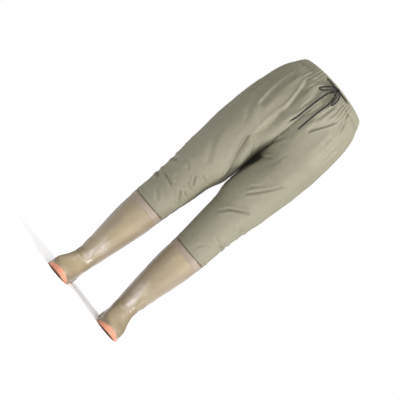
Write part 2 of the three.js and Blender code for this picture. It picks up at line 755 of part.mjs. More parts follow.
for (const [hand, side] of [["left", 1], ["right", -1]]) {
  place(`trouser_${hand}`, trouserHalf(side), clothFinish);
  place(`boot_upper_${hand}`, bootUpper(side), bootFinish);
  place(`collar_band_${hand}`, collarBand(side), collarFinish);
  place(`outsole_${hand}`, outsole(side), soleFinish);
  place(`insole_${hand}`, insole(side), insoleFinish);
}
place("waistband", waistband(), bandFinish);
for (const [hand, eyelet] of [["right", EYELETS[0]], ["left", EYELETS[1]]]) {
  place(`drawstring_bar_${hand}`, cordGeometry(barRoute(eyelet), BAR_STEPS), cordFinish);
}

const box = new THREE.Box3().setFromObject(wader);
place("drawstring_knot", knot(), cordFinish);
const FREE_CORDS = { end_right: END_RIGHT, end_left: END_LEFT, loop_right: LOOP_RIGHT, loop_left: LOOP_LEFT };
for (const [name, route] of Object.entries(FREE_CORDS)) {
  place(`drawstring_${name}`, cordGeometry(fromKnot(route), FREE_STEPS), cordFinish);
}

// The origin goes under the middle of the wader, measured without the free cords
wader.position.y = -(box.min.y + box.max.y) / 2;

export default wader;
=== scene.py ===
import math
from collections import namedtuple

import bmesh
import bpy
import numpy as np
from bpy.props import FloatProperty, FloatVectorProperty, IntProperty, PointerProperty
from mathutils import Matrix, Vector


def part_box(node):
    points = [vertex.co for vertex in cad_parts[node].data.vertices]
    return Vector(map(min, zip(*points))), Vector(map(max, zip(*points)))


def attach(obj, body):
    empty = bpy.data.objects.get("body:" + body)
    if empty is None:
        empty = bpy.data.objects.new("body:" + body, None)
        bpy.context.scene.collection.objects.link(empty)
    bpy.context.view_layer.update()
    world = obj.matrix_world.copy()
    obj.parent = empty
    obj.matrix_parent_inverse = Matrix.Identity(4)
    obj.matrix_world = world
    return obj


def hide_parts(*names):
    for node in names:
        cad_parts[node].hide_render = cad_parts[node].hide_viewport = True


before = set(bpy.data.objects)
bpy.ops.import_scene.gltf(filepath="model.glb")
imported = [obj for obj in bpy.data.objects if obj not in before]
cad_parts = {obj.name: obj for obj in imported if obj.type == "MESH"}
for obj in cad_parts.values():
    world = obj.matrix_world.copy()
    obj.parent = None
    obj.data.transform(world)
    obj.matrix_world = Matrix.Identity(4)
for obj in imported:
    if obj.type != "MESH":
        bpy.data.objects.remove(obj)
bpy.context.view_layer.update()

bl_info = {
    "name": "Waist wader",
    "version": (1, 0, 0),
    "blender": (4, 5, 0),
    "location": "View3D > Sidebar > Wader",
    "description": "Makes the cloth, boots, soles and drawstring of a waist wader round its frame",
    "category": "Add Mesh",
}

MM = 0.001

# Sizes of the form, in millimetres, as the solids have them. Those that the frame shows are read
# from it.

CLOTH = 1.0
HEM_FOLD = 16
HEM_STEP = 0.6
THIGH_GAP = 3
WAIST_WIDTH = 272
WAIST_DEPTH = 212
WAIST_DIP = 12
HIP_DEPTH = 278
KNEE_WIDTH = 148
KNEE_DEPTH = 179
KNEE_SPREAD = 195
HEM_WIDTH = 134
HEM_DEPTH = 156
CROTCH_HEIGHT = 764
THIGHS_PART_HEIGHT = 605
KNEE_HEIGHT = 490
ANKLE_HEIGHT = 88
BAND_WALL = 4
BAND_SWELL = 1.2
STANCE = 207
TOE_OUT = math.radians(8)
FOOT_LENGTH = 268
HEEL_REACH = 60
BALL_WIDTH = 96
ANKLE_WIDTH = 77
LAST_BEND = 6
BOOT_WALL = 2
LAP = 20
COLLAR_WALL = 1.2
SOLE_THICKNESS = 10
HEEL_HEIGHT = 24
TOE_HEIGHT = 28
TOE_SPRING = 7
SOLE_LIP = 1.6
ARCH_RISE = 6
LUG_HEIGHT = 3.2
LUG_PITCH = 14
LUG_GROOVE = 4.5
INSOLE_PLAY = 1.2
INSOLE_THICKNESS = 3
CORD = 5
EYELET_SPREAD = 100
EYELET_DROP = 9
BOW_OFFSET = 9
KNOT_WIDTH = 17
FIT = 0.3
ROUNDNESS = 2.2
CROTCH_CURVE = 1.3
HEEL_FRONT = 0.25
BALL_BACK = 0.54
TOE_BACK = 0.78


def box_mm(node):
    """A node's lowest and highest corners, in millimetres."""
    low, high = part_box(node)
    return [v / MM for v in low], [v / MM for v in high]


WAIST_HEIGHT = box_mm("waistband")[1][2]
BOOT_HEIGHT, BAND_LOW = (box_mm("trouser_left")[k][2] for k in (0, 1))
BAND_LOW += FIT
BAND_HEIGHT = WAIST_HEIGHT - BAND_LOW
HIP_WIDTH = 2 * box_mm("trouser_left")[1][0]
COLLAR_LOW = box_mm("collar_band_left")[0][2]
SHAFT_WIDTH = HEM_WIDTH - 2 * (CLOTH + FIT)
SHAFT_DEPTH = HEM_DEPTH - 2 * (CLOTH + FIT)
SHAFT_BACK = 0.513 * SHAFT_DEPTH
AXIS_Y = box_mm("collar_band_left")[1][1] - SHAFT_BACK - FIT - COLLAR_WALL
TOE_REACH = FOOT_LENGTH - HEEL_REACH
RISE = BAND_LOW - CROTCH_HEIGHT
HANDS = {"left": 1, "right": -1}


# Small maths on arrays

def rounded(v):
    """Turns a sine or cosine into the sections' own, which are fuller than an ellipse's."""
    return np.sign(v) * np.abs(v) ** (2 / ROUNDNESS)


def smooth(v, low, high):
    t = np.clip((v - low) / (high - low), 0, 1)
    return t * t * (3 - 2 * t)


def mix(a, b, t):
    return a + (b - a) * t


class Track:
    """The columns of a table along its key, on smooth curves that don't overshoot the rows."""

    def __init__(self, rows, key="z"):
        rows = sorted(rows, key=lambda row: row[key])
        self.key = np.array([row[key] for row in rows], float)
        self.columns = {}
        for name in rows[0]:
            if name == key:
                continue
            value = np.array([row[name] for row in rows], float)
            slope = np.diff(value) / np.diff(self.key)
            tangent = np.zeros_like(value)
            tangent[0], tangent[-1] = slope[0], slope[-1]
            product = slope[1:] * slope[:-1]
            total = slope[1:] + slope[:-1]
            even = product > 0
            tangent[1:-1][even] = 2 * product[even] / total[even]
            self.columns[name] = (value, tangent)

    def at(self, name, where):
        value, tangent = self.columns[name]
        i = np.clip(np.searchsorted(self.key, where, "right") - 1, 0, len(self.key) - 2)
        span = self.key[i + 1] - self.key[i]
        t = np.clip((where - self.key[i]) / span, 0, 1)
        ease = t * t * (3 - 2 * t)
        lead = t * (1 - t) ** 2 * tangent[i]
        trail = t * t * (t - 1) * tangent[i + 1]
        return mix(value[i], value[i + 1], ease) + span * (lead + trail)


class SoftNoise:
    """Smooth random values from -1 to 1 in space, the same each time."""

    def __init__(self, seed, cells=32):
        self.cells = cells
        self.values = np.random.RandomState(seed).uniform(-1, 1, (cells,) * 3)

    def at(self, points, size):
        p = points / np.asarray(size, float)
        base = np.floor(p).astype(int)
        t = p - base
        t = t * t * (3 - 2 * t)
        total = 0.0
        for corner in np.ndindex(2, 2, 2):
            index = (base + corner) % self.cells
            weight = np.prod([t[..., k] if corner[k] else 1 - t[..., k] for k in range(3)], axis=0)
            total = total + weight * self.values[index[..., 0], index[..., 1], index[..., 2]]
        return total


# The cloth's form

def rise_at(share):
    return mix(CROTCH_HEIGHT, WAIST_HEIGHT, share)


def thigh_at(share):
    return mix(THIGHS_PART_HEIGHT, CROTCH_HEIGHT, share)


def cloth_row(z, inner, side, front, back, width, depth):
    return {"z": z, "inner": inner, "side": side * width, "front": front * depth, "back": back * depth}


def leg_row(z, spread, width, depth, front, back):
    return {
        "z": z,
        "inner": (spread - width) / 2,
        "side": (spread + width) / 2,
        "front": front * depth,
        "back": back * depth,
    }


CLOTH_FORM = Track([
    cloth_row(WAIST_HEIGHT, 0, 0.5, 0.51, 0.49, WAIST_WIDTH, WAIST_DEPTH),
    cloth_row(rise_at(0.815), 0, 0.441, 0.439, 0.425, HIP_WIDTH, HIP_DEPTH),
    cloth_row(rise_at(0.58), 0, 0.476, 0.468, 0.482, HIP_WIDTH, HIP_DEPTH),
    cloth_row(rise_at(0.24), 0, 0.4975, 0.482, 0.518, HIP_WIDTH, HIP_DEPTH),
    cloth_row(CROTCH_HEIGHT, 0, 0.5, 0.471, 0.489, HIP_WIDTH, HIP_DEPTH),
    cloth_row(thigh_at(0.22), THIGH_GAP / 2, 0.48, 0.424, 0.378, HIP_WIDTH, HIP_DEPTH),
    cloth_row(THIGHS_PART_HEIGHT, 1.5 * THIGH_GAP, 0.474, 0.406, 0.36, HIP_WIDTH, HIP_DEPTH),
    cloth_row(thigh_at(-0.28), 0.085 * KNEE_SPREAD, 0.46, 0.385, 0.34, HIP_WIDTH, HIP_DEPTH),
    leg_row(KNEE_HEIGHT, KNEE_SPREAD, KNEE_WIDTH, KNEE_DEPTH, 0.54, 0.46),
    leg_row(BOOT_HEIGHT, STANCE, HEM_WIDTH, HEM_DEPTH, 0.487, 0.513),
])


def rim_drop(x, z):
    raised = smooth(z, CROTCH_HEIGHT + RISE / 2, CROTCH_HEIGHT + RISE)
    return WAIST_DIP * (2 * x / WAIST_WIDTH) ** 2 * raised


def cloth_half(z, share):
    """The left half's face, for heights and for shares from -1, at the seam in front, round the
    outer side to 1, at the seam behind."""
    side, front, back, inner = (CLOTH_FORM.at(k, z) for k in ("side", "front", "back", "inner"))
    joined = np.clip((z - CROTCH_HEIGHT) / RISE, 0, 1) ** CROTCH_CURVE
    inner = np.where(joined > 0, 0, inner)
    half = (side - inner) / (2 - joined)
    middle = side - half
    cut = np.clip((middle - inner) / half, 0, 1)
    angle = share * (math.pi - np.arccos(cut ** (ROUNDNESS / 2)))
    x = middle + half * rounded(np.cos(angle))
    y = (back - front) / 2 + (front + back) / 2 * rounded(np.sin(angle))
    z = z + 0 * share
    seam = (np.abs(share) == 1) & (joined > 0)
    x = np.where(seam, 0, x)
    return np.stack([x, y + AXIS_Y, z - rim_drop(x, z)], -1)


def waist_point(turn, z, out):
    """A point on the waistband's face, out from the cloth's, for a turn that is 0 in front."""
    side, front, back = (CLOTH_FORM.at(k, z) for k in ("side", "front", "back"))
    x = (side + out) * rounded(np.sin(turn))
    y = (back - front) / 2 - ((front + back) / 2 + out) * rounded(np.cos(turn))
    return np.stack([x, y + AXIS_Y, z - rim_drop(x, z)], -1)


def waist_turn(x, z, out):
    share = x / (CLOTH_FORM.at("side", z) + out)
    return math.asin(math.copysign(abs(share) ** (ROUNDNESS / 2), share))


def grid_normals(points):
    """Unit normals of a grid whose rows run downwards and whose columns run anticlockwise."""
    down = np.gradient(points, axis=0)
    along = np.gradient(points, axis=1)
    normal = np.cross(down, along)
    return normal / np.maximum(np.linalg.norm(normal, axis=-1, keepdims=True), 1e-9)


# Folds, each a soft trough with raised rims along a given way. The chart says
# from where the way is seen: front and back ways are (x, z), left and right ones (y, z). deep is
# negative for a ridge, and lean makes one side of the trough wider than the other.

Fold = namedtuple("Fold", "chart deep wide rim lean way")

CLOTH_FOLDS = [
    Fold("front", -8.5, 46, 0.3, 0.0, [(6, 1046), (6, 960), (6, 860), (4, 770)]),
    Fold("front", 5.5, 9, 0.4, 0.4, [(-122, 1030), (-125, 1000), (-127, 940), (-123, 880), (-118, 850)]),
    Fold("front", 8.0, 10, 0.35, 0.4,
         [(-94, 1062), (-68, 995), (-56, 937), (-51, 884), (-43, 830), (-42, 780), (-46, 730)]),
    Fold("front", 4.5, 4.5, 0.4, 0.3, [(89, 1068), (98, 1045), (107, 1028), (124, 992)]),
    Fold("front", 4.5, 7, 0.4, -0.5, [(91, 1026), (75, 981), (56, 937), (50, 918)]),
    Fold("front", 2.8, 6, 0.4, 0.0, [(46, 1052), (40, 1010), (36, 960)]),
    Fold("front", 2.6, 8, 0.4, 0.3, [(-30, 1050), (-24, 1000), (-22, 950)]),
    Fold("front", 2.6, 7, 0.4, 0.3, [(-152, 1010), (-160, 960), (-158, 900)]),
    Fold("front", 7.0, 16, 0.2, 0.5, [(-56, 918), (-55, 880), (-53, 830), (-48, 785), (-42, 748)]),
    Fold("front", 5.0, 5, 0.35, 0.3, [(16, 862), (9, 826), (-2, 790), (-8, 768)]),
    Fold("front", 2.4, 10, 0.3, 0.2, [(-158, 930), (-150, 870), (-128, 815), (-100, 780)]),
    Fold("front", 15.0, 8, 0.3, 0.6,
         [(-68, 775), (-61, 754), (-48, 709), (-35, 680), (-19, 643), (-8, 606)]),
    Fold("front", 9.0, 8, 0.2, 0.0, [(3, 792), (5, 750), (3, 715), (0, 680), (0, 660)]),
    Fold("front", 3.0, 5, 0.4, 0.0, [(-30, 775), (-20, 748), (-8, 730)]),
    Fold("front", 3.5, 5, 0.4, 0.3, [(38, 786), (26, 768), (14, 752)]),
    Fold("front", 4.2, 4.5, 0.45, 0.2, [(143, 762), (127, 730), (111, 699), (81, 649), (70, 632)]),
    Fold("front", 2.4, 5, 0.4, 0.0, [(92, 700), (76, 676), (62, 655)]),
    Fold("front", 2.6, 11, 0.3, 0.0, [(-150, 720), (-128, 668), (-96, 622), (-76, 600)]),
    Fold("front", 6.0, 4.5, 0.45, -0.2, [(136, 603), (124, 597), (107, 585), (81, 564), (72, 554)]),
    Fold("front", 3.6, 5, 0.45, 0.0, [(78, 560), (68, 545), (56, 528)]),
    Fold("front", 3.8, 4.5, 0.45, 0.0, [(-66, 565), (-52, 561), (-36, 562)]),
    Fold("front", 5.0, 4.5, 0.5, 0.2, [(-80, 548), (-68, 532), (-52, 514)]),
    Fold("front", 4.6, 4, 0.5, 0.0, [(-78, 509), (-62, 508), (-46, 511)]),
    Fold("front", 4.2, 4, 0.5, 0.0, [(-64, 488), (-50, 482), (-36, 482)]),
    Fold("front", 4.8, 5, 0.5, 0.2, [(-78, 480), (-60, 462), (-36, 441)]),
    Fold("front", 5.0, 6, 0.45, 0.0, [(-158, 484), (-130, 475), (-102, 469)]),
    Fold("front", 2.6, 6, 0.4, 0.0, [(-150, 566), (-126, 556), (-104, 540)]),
    Fold("front", 3.0, 6, 0.4, 0.0, [(158, 474), (140, 466), (116, 468)]),
    Fold("front", 2.2, 6, 0.4, 0.0, [(-136, 430), (-112, 412), (-92, 400)]),
    Fold("front", 2.2, 6, 0.4, 0.0, [(134, 436), (112, 420), (96, 400)]),
    Fold("left", 7.5, 7, 0.3, 0.2, [(-46, 459), (-18, 466), (12, 466), (40, 478)]),
    Fold("left", 4.9, 7.9, 0.4, 0, [(-60, 560), (-20, 540), (36, 534)]),
    Fold("left", 3.8, 9.2, 0.4, 0, [(60, 940), (70, 860), (56, 780)]),
    Fold("left", 3.2, 9.2, 0.4, 0, [(-40, 1000), (-30, 930), (-46, 850)]),
    Fold("left", 4.3, 7.9, 0.4, 0, [(96, 640), (60, 610), (20, 600)]),
    Fold("right", 5.8, 7.3, 0.4, 0, [(-40, 456), (0, 462), (40, 472)]),
    Fold("right", 4.6, 7.9, 0.4, 0, [(-50, 544), (-10, 532), (40, 540)]),
    Fold("right", 3.8, 9.2, 0.4, 0, [(50, 950), (66, 870), (54, 800)]),
    Fold("right", 3.2, 8.6, 0.4, 0, [(-46, 980), (-30, 900), (-44, 820)]),
    Fold("right", 4.3, 7.9, 0.4, 0, [(100, 650), (64, 616), (20, 606)]),
    Fold("back", 4.4, 8.9, 0.4, 0, [(152, 532), (114, 508), (70, 499)]),
    Fold("back", 4.0, 8, 0.4, 0, [(146, 483), (118, 492), (84, 483)]),
    Fold("back", 2.9, 8, 0.4, 0, [(136, 465), (106, 448), (66, 452)]),
    Fold("back", 4.4, 8.9, 0.4, 0, [(-150, 505), (-116, 511), (-60, 533)]),
    Fold("back", 4.0, 8, 0.4, 0, [(-146, 487), (-108, 478), (-74, 488)]),
    Fold("back", 2.9, 8, 0.4, 0, [(-130, 444), (-108, 457), (-84, 450)]),
    Fold("back", 4.0, 11.6, 0.4, 0.3, [(150, 790), (104, 762), (56, 752), (14, 772)]),
    Fold("back", 4.0, 11.6, 0.4, 0.3, [(-150, 786), (-106, 760), (-58, 752), (-14, 772)]),
    Fold("back", 2.4, 10.7, 0.4, 0, [(90, 730), (64, 680), (40, 640)]),
    Fold("back", 2.4, 10.7, 0.4, 0, [(-92, 724), (-64, 676), (-36, 636)]),
    Fold("back", 2.3, 11.6, 0.4, 0, [(112, 1040), (96, 980), (92, 910)]),
    Fold("back", 2.3, 11.6, 0.4, 0, [(-108, 1044), (-94, 984), (-88, 920)]),
    Fold("back", 1.8, 9.9, 0.4, 0, [(40, 1046), (44, 996), (38, 950)]),
    Fold("back", 1.8, 9.9, 0.4, 0, [(-48, 1046), (-46, 990), (-40, 940)]),
    Fold("back", 2.1, 8.9, 0.4, 0, [(130, 430), (104, 414), (82, 398)]),
    Fold("back", 2.1, 8.9, 0.4, 0, [(-132, 424), (-104, 412), (-80, 400)]),
]

BOOT_FOLDS = [
    Fold("front", 1.1, 9, 0.5, 0.4, [(-128, 190), (-124, 150), (-122, 112)]),
    Fold("front", 1.1, 9, 0.5, -0.4, [(124, 186), (121, 150), (118, 112)]),
    Fold("front", 1.3, 7, 0.5, 0.0, [(-124, 232), (-110, 222), (-94, 226)]),
    Fold("front", 1.3, 7, 0.5, 0.0, [(-118, 200), (-104, 194), (-90, 198)]),
    Fold("front", 1.3, 7, 0.5, 0.0, [(122, 214), (104, 206), (86, 212)]),
    Fold("front", 1.3, 7, 0.5, 0.0, [(84, 118), (104, 108), (126, 114)]),
    Fold("front", 1.3, 7, 0.5, 0.0, [(-84, 116), (-106, 106), (-126, 112)]),
    Fold("front", 1.0, 7, 0.5, 0.0, [(84, 96), (106, 88), (128, 92)]),
    Fold("front", 1.0, 7, 0.5, 0.0, [(-84, 94), (-108, 86), (-130, 92)]),
    Fold("left", 1.0, 9, 0.5, 0.0, [(-36, 120), (0, 112), (50, 126)]),
    Fold("left", 0.8, 9, 0.5, 0.0, [(-30, 160), (6, 150), (60, 162)]),
    Fold("left", 0.9, 12, 0.4, 0.0, [(0, 330), (10, 270), (4, 210)]),
    Fold("right", 1.0, 9, 0.5, 0.0, [(-34, 116), (2, 110), (54, 128)]),
    Fold("right", 0.8, 9, 0.5, 0.0, [(-30, 168), (10, 156), (60, 164)]),
    Fold("right", 0.9, 12, 0.4, 0.0, [(10, 320), (0, 264), (8, 206)]),
    Fold("back", 1.5, 9, 0.5, 0.0, [(128, 150), (104, 142), (80, 152)]),
    Fold("back", 1.5, 9, 0.5, 0.0, [(-128, 146), (-104, 140), (-80, 152)]),
    Fold("back", 1.1, 9, 0.5, 0.0, [(126, 190), (104, 184), (84, 194)]),
    Fold("back", 1.1, 9, 0.5, 0.0, [(-126, 186), (-104, 180), (-84, 190)]),
]

CHARTS = {
    # column of the way's first number, and the way that the chart faces
    "front": (0, (0, -1)),
    "back": (0, (0, 1)),
    "left": (1, (1, 0)),
    "right": (1, (-1, 0)),
}
FOLD_STEPS = 14
RIM_PLACE = 1.75


def smooth_way(way, steps):
    """A way resampled on a smooth curve through its points."""
    points = np.array(way, float)
    padded = np.vstack([2 * points[0] - points[1], points, 2 * points[-1] - points[-2]])
    found = []
    for t in np.linspace(0, len(points) - 1, steps + 1):
        i = min(int(t), len(points) - 2)
        u = t - i
        a, b, c, d = padded[i:i + 4]
        found.append(0.5 * (2 * b + (c - a) * u + (2 * a - 5 * b + 4 * c - d) * u ** 2
                            + (3 * b - a - 3 * c + d) * u ** 3))
    return np.array(found)


def fold_offsets(points, normals, folds):
    """How far each point moves along its normal for the folds, in millimetres."""
    total = np.zeros(len(points))
    for fold in folds:
        column, facing = CHARTS[fold.chart]
        shown = smooth(normals[:, :2] @ facing, 0.1, 0.5)
        shown = shown * (points[:, 0] * facing[0] >= 0)
        flat = points[:, [column, 2]]
        way = smooth_way(fold.way, FOLD_STEPS)
        reach = 4 * fold.wide
        near = (shown > 0) & np.all((flat > way.min(0) - reach) & (flat < way.max(0) + reach), axis=1)
        spot = flat[near]
        best = np.full(len(spot), 1e9)
        signed = np.zeros(len(spot))
        place = np.zeros(len(spot))
        for i in range(FOLD_STEPS):
            step = way[i + 1] - way[i]
            gap = spot - way[i]
            t = np.clip(gap @ step / (step @ step), 0, 1)
            left = gap - t[:, None] * step
            distance = np.hypot(left[:, 0], left[:, 1])
            closer = distance < best
            best = np.where(closer, distance, best)
            turn = np.sign(step[0] * gap[:, 1] - step[1] * gap[:, 0])
            signed = np.where(closer, turn, signed)
            place = np.where(closer, (i + t) / FOLD_STEPS, place)
        u = best / (fold.wide * (1 + fold.lean * signed))
        shape = np.exp(-u * u) - fold.rim * np.exp(-1.2 * (u - RIM_PLACE) ** 2)
        fade = smooth(place, 0, 0.2) * smooth(1 - place, 0, 0.2)
        total[near] -= fold.deep * shape * fade * shown[near]
    return total


# The boot's form

def foot_share(y):
    return (HEEL_REACH - y) / FOOT_LENGTH


def toe_share(y):
    return np.clip((foot_share(y) - TOE_BACK) / (1 - TOE_BACK), 0, 1) ** 2


def sole_top(y):
    heel = (HEEL_HEIGHT - SOLE_THICKNESS) * (1 - smooth(foot_share(y), HEEL_FRONT * 0.6, BALL_BACK))
    return SOLE_THICKNESS + heel + (TOE_HEIGHT - SOLE_THICKNESS) * toe_share(y)


def ground_line(y):
    return TOE_SPRING * toe_share(y)


def shaft_at(share):
    return mix(ANKLE_HEIGHT, BOOT_HEIGHT, share)


SHAFT_ROWS = [
    (BOOT_HEIGHT + LAP, 1, 0.487, 0.513),
    (BOOT_HEIGHT - FIT, 1, 0.487, 0.513),
    (COLLAR_LOW, 0.992, 0.474, 0.508),
    (shaft_at(0.76), 0.968, 0.458, 0.502),
    (shaft_at(0.56), 0.885, 0.432, 0.472),
    (shaft_at(0.38), 0.79, 0.402, 0.418),
    (shaft_at(0.22), 0.7, 0.382, 0.362),
    (shaft_at(0.1), 0.635, 0.388, 0.332),
]
FOOT_ROWS = [
    # up, ankle, front, back, wide, follow, arch
    (1.0, 1, 0.34, 0.85, 0.1, 0, 0),
    (0.89, 0.95, 0.4, 0.88, 0.16, 0, 0),
    (0.79, 0.8, 0.465, 0.91, 0.24, 0.04, 0.02),
    (0.68, 0.6, 0.545, 0.935, 0.34, 0.1, 0.06),
    (0.59, 0.45, 0.635, 0.955, 0.43, 0.16, 0.1),
    (0.5, 0.3, 0.735, 0.97, 0.5, 0.24, 0.14),
    (0.42, 0.19, 0.83, 0.98, 0.55, 0.36, 0.18),
    (0.33, 0.1, 0.905, 0.99, 0.575, 0.5, 0.21),
    (0.22, 0.03, 0.958, 0.997, 0.585, 0.7, 0.23),
    (0.1, 0, 0.986, 1, 0.59, 0.9, 0.25),
    (0, 0.01, 0.99, 0.995, 0.59, 1, 0.26),
]


def boot_form():
    rows = []
    for z, width, front, back in SHAFT_ROWS:
        rows.append({
            "z": z,
            "half": width * SHAFT_WIDTH / 2,
            "front": front * SHAFT_DEPTH,
            "back": back * SHAFT_DEPTH,
            "wide": (back - front) * SHAFT_DEPTH / 2,
            "follow": 0,
            "arch": 0,
        })
    for up, ankle, front, back, wide, follow, arch in FOOT_ROWS:
        rows.append({
            "z": up * ANKLE_HEIGHT,
            "half": mix(BALL_WIDTH / 2, ANKLE_WIDTH / 2, ankle) - SOLE_LIP * (1 - ankle),
            "front": front * (TOE_REACH - SOLE_LIP),
            "back": back * (HEEL_REACH - SOLE_LIP),
            "wide": -wide * TOE_REACH,
            "follow": follow,
            "arch": arch,
        })
    for index, row in enumerate(rows):
        row["index"] = index
    return Track(rows, "index"), len(rows) - 1


BOOT_FORM, SOLE_ROW = boot_form()


def boot_face(index, turn, out=0.0, height=None):
    """The left boot's face for places in its table and for turns that are 0 at the toe. Gives the
    points and how far along the foot each is."""
    half, front, back, wide, follow, arch, z = (
        BOOT_FORM.at(k, index) for k in ("half", "front", "back", "wide", "follow", "arch", "z"))
    forward = rounded(np.cos(turn))
    sideways = rounded(np.sin(turn))
    ahead = -front - wide - out
    behind = wide - back - out
    y = wide + np.where(forward > 0, forward * ahead, forward * behind)
    toe = np.clip((-y - 0.5 * TOE_REACH) / (0.5 * TOE_REACH), 0, 1)
    bend = -LAST_BEND * toe ** 2 * np.clip(2 * follow, 0, 1)
    waist = arch * np.exp(-((foot_share(y) - 0.4) / 0.17) ** 2)
    drawn = np.where(sideways < 0, 1 - waist, 1 - 0.45 * waist)
    x = (half + out) * sideways * drawn + bend
    z = z + follow * sole_top(y) if height is None else height(y)
    angle = TOE_OUT * (1 - smooth(z, ANKLE_HEIGHT, shaft_at(0.6)))
    across = STANCE / 2 + x * np.cos(angle) - y * np.sin(angle)
    along = x * np.sin(angle) + y * np.cos(angle)
    return np.stack([across, along + AXIS_Y, z + 0 * x], -1), y


def under_foot(points):
    """Points made along the foot, put where the turned left foot is."""
    x, y, z = points.T
    c, s = math.cos(TOE_OUT), math.sin(TOE_OUT)
    return np.stack([STANCE / 2 + x * c - y * s, x * s + y * c + AXIS_Y, z], -1)


# Meshes

def grid_faces(rows, columns, start=0, closed=False, flip=False):
    i, j = np.meshgrid(np.arange(rows - 1), np.arange(columns if closed else columns - 1), indexing="ij")
    right = (j + 1) % columns
    quads = np.stack([i * columns + j, (i + 1) * columns + j, (i + 1) * columns + right,
                      i * columns + right], -1).reshape(-1, 4) + start
    return quads[:, ::-1] if flip else quads


def new_object(name, points, faces, weld=0.0):
    """A mesh object from points in millimetres. weld joins points that are closer than that."""
    mesh = bpy.data.meshes.new(name)
    places = (np.asarray(points).reshape(-1, 3) * MM).tolist()
    mesh.from_pydata(places, [], [list(map(int, face)) for face in faces])
    obj = bpy.data.objects.new(name, mesh)
    bpy.context.scene.collection.objects.link(obj)
    if weld:
        apply_modifiers(obj, [("WELD", {"merge_threshold": weld * MM})])
    obj.data.shade_smooth()
    return obj


def apply_modifiers(obj, steps):
    """Adds each modifier and replaces the mesh with the result."""
    for kind, settings in steps:
        modifier = obj.modifiers.new(kind.lower(), kind)
        for key, value in settings.items():
            setattr(modifier, key, value)
    bpy.context.view_layer.update()
    graph = bpy.context.evaluated_depsgraph_get()
    done = bpy.data.meshes.new_from_object(
        obj.evaluated_get(graph), preserve_all_data_layers=True, depsgraph=graph)
    old = obj.data
    obj.modifiers.clear()
    obj.data = done
    bpy.data.meshes.remove(old)
    done.name = obj.name
    return obj


def wall(obj, thickness):
    settings = {"thickness": thickness * MM, "offset": -1.0, "use_rim": True}
    return apply_modifiers(obj, [("SOLIDIFY", settings)])


def store(obj, name, values):
    attribute = obj.data.attributes.new(name, "FLOAT", "POINT")
    attribute.data.foreach_set("value", np.asarray(values, np.float32).ravel())


def soften(obj, angle=40):
    obj.data.shade_smooth()
    obj.data.set_sharp_from_angle(angle=math.radians(angle))


def finish_piece(obj, material, slot, *nodes):
    obj.data.materials.clear()
    obj.data.materials.append(material)
    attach(obj, "root")
    if nodes:
        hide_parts(*nodes)
    return obj


def tube(name, points, radius, sides=16, closed=False, taper=None):
    """A round tube along points in millimetres, with u along it and v round it in its UV map."""
    points = np.asarray(points, float)
    count = len(points)
    tangent = np.roll(points, -1, 0) - np.roll(points, 1, 0) if closed else np.gradient(points, axis=0)
    tangent /= np.linalg.norm(tangent, axis=1, keepdims=True)
    side = np.cross(tangent[0], [0.3, 0.2, 1.0])
    side /= np.linalg.norm(side)
    rings = []
    for k in range(count):
        side = side - tangent[k] * (side @ tangent[k])
        side /= np.linalg.norm(side)
        up = np.cross(tangent[k], side)
        angle = np.linspace(0, 2 * math.pi, sides, endpoint=False)
        r = radius * (taper[k] if taper is not None else 1)
        rings.append(points[k] + r * (np.cos(angle)[:, None] * side + np.sin(angle)[:, None] * up))
    rings = np.array(rings)
    faces = [list(f) for f in grid_faces(count, sides, closed=True, flip=True)]
    if closed:
        last = (count - 1) * sides
        faces += [[last + j, last + (j + 1) % sides, (j + 1) % sides, j] for j in range(sides)]
    else:
        faces.append(list(range(sides))[::-1])
        faces.append([(count - 1) * sides + j for j in range(sides)])
    obj = new_object(name, rings, faces)
    length = np.concatenate([[0], np.cumsum(np.linalg.norm(np.diff(points, axis=0), axis=1))])
    layer = obj.data.uv_layers.new(name="UVMap")
    loops = np.zeros(len(obj.data.loops), int)
    obj.data.loops.foreach_get("vertex_index", loops)
    u = length[loops // sides] * MM
    v = (loops % sides) / sides
    for polygon in obj.data.polygons:
        if len(polygon.vertices) != 4:
            continue
        part = slice(polygon.loop_start, polygon.loop_start + 4)
        if v[part].max() - v[part].min() > 0.5:
            v[part] = np.where(v[part] < 0.5, v[part] + 1, v[part])
    layer.data.foreach_set("uv", np.stack([u, v], -1).ravel())
    return obj


def join(name, objects):
    """One mesh object from several that share a material."""
    points, faces = [], []
    for obj in objects:
        start = sum(len(p) for p in points)
        points.append(np.array([v.co for v in obj.data.vertices]) / MM)
        faces += [[start + v for v in polygon.vertices] for polygon in obj.data.polygons]
        bpy.data.objects.remove(obj)
    return new_object(name, np.vstack(points), faces)


# Materials

class Wire:
    """A shader socket that takes part in sums."""

    def __init__(self, paint, socket):
        self.paint = paint
        self.socket = socket

    def sum(self, operation, first, second):
        return self.paint.node("ShaderNodeMath", {"operation": operation}, {0: first, 1: second})

    def __add__(self, other):
        return self.sum("ADD", self, other)

    __radd__ = __add__

    def __sub__(self, other):
        return self.sum("SUBTRACT", self, other)

    def __rsub__(self, other):
        return self.sum("SUBTRACT", other, self)

    def __mul__(self, other):
        return self.sum("MULTIPLY", self, other)

    __rmul__ = __mul__


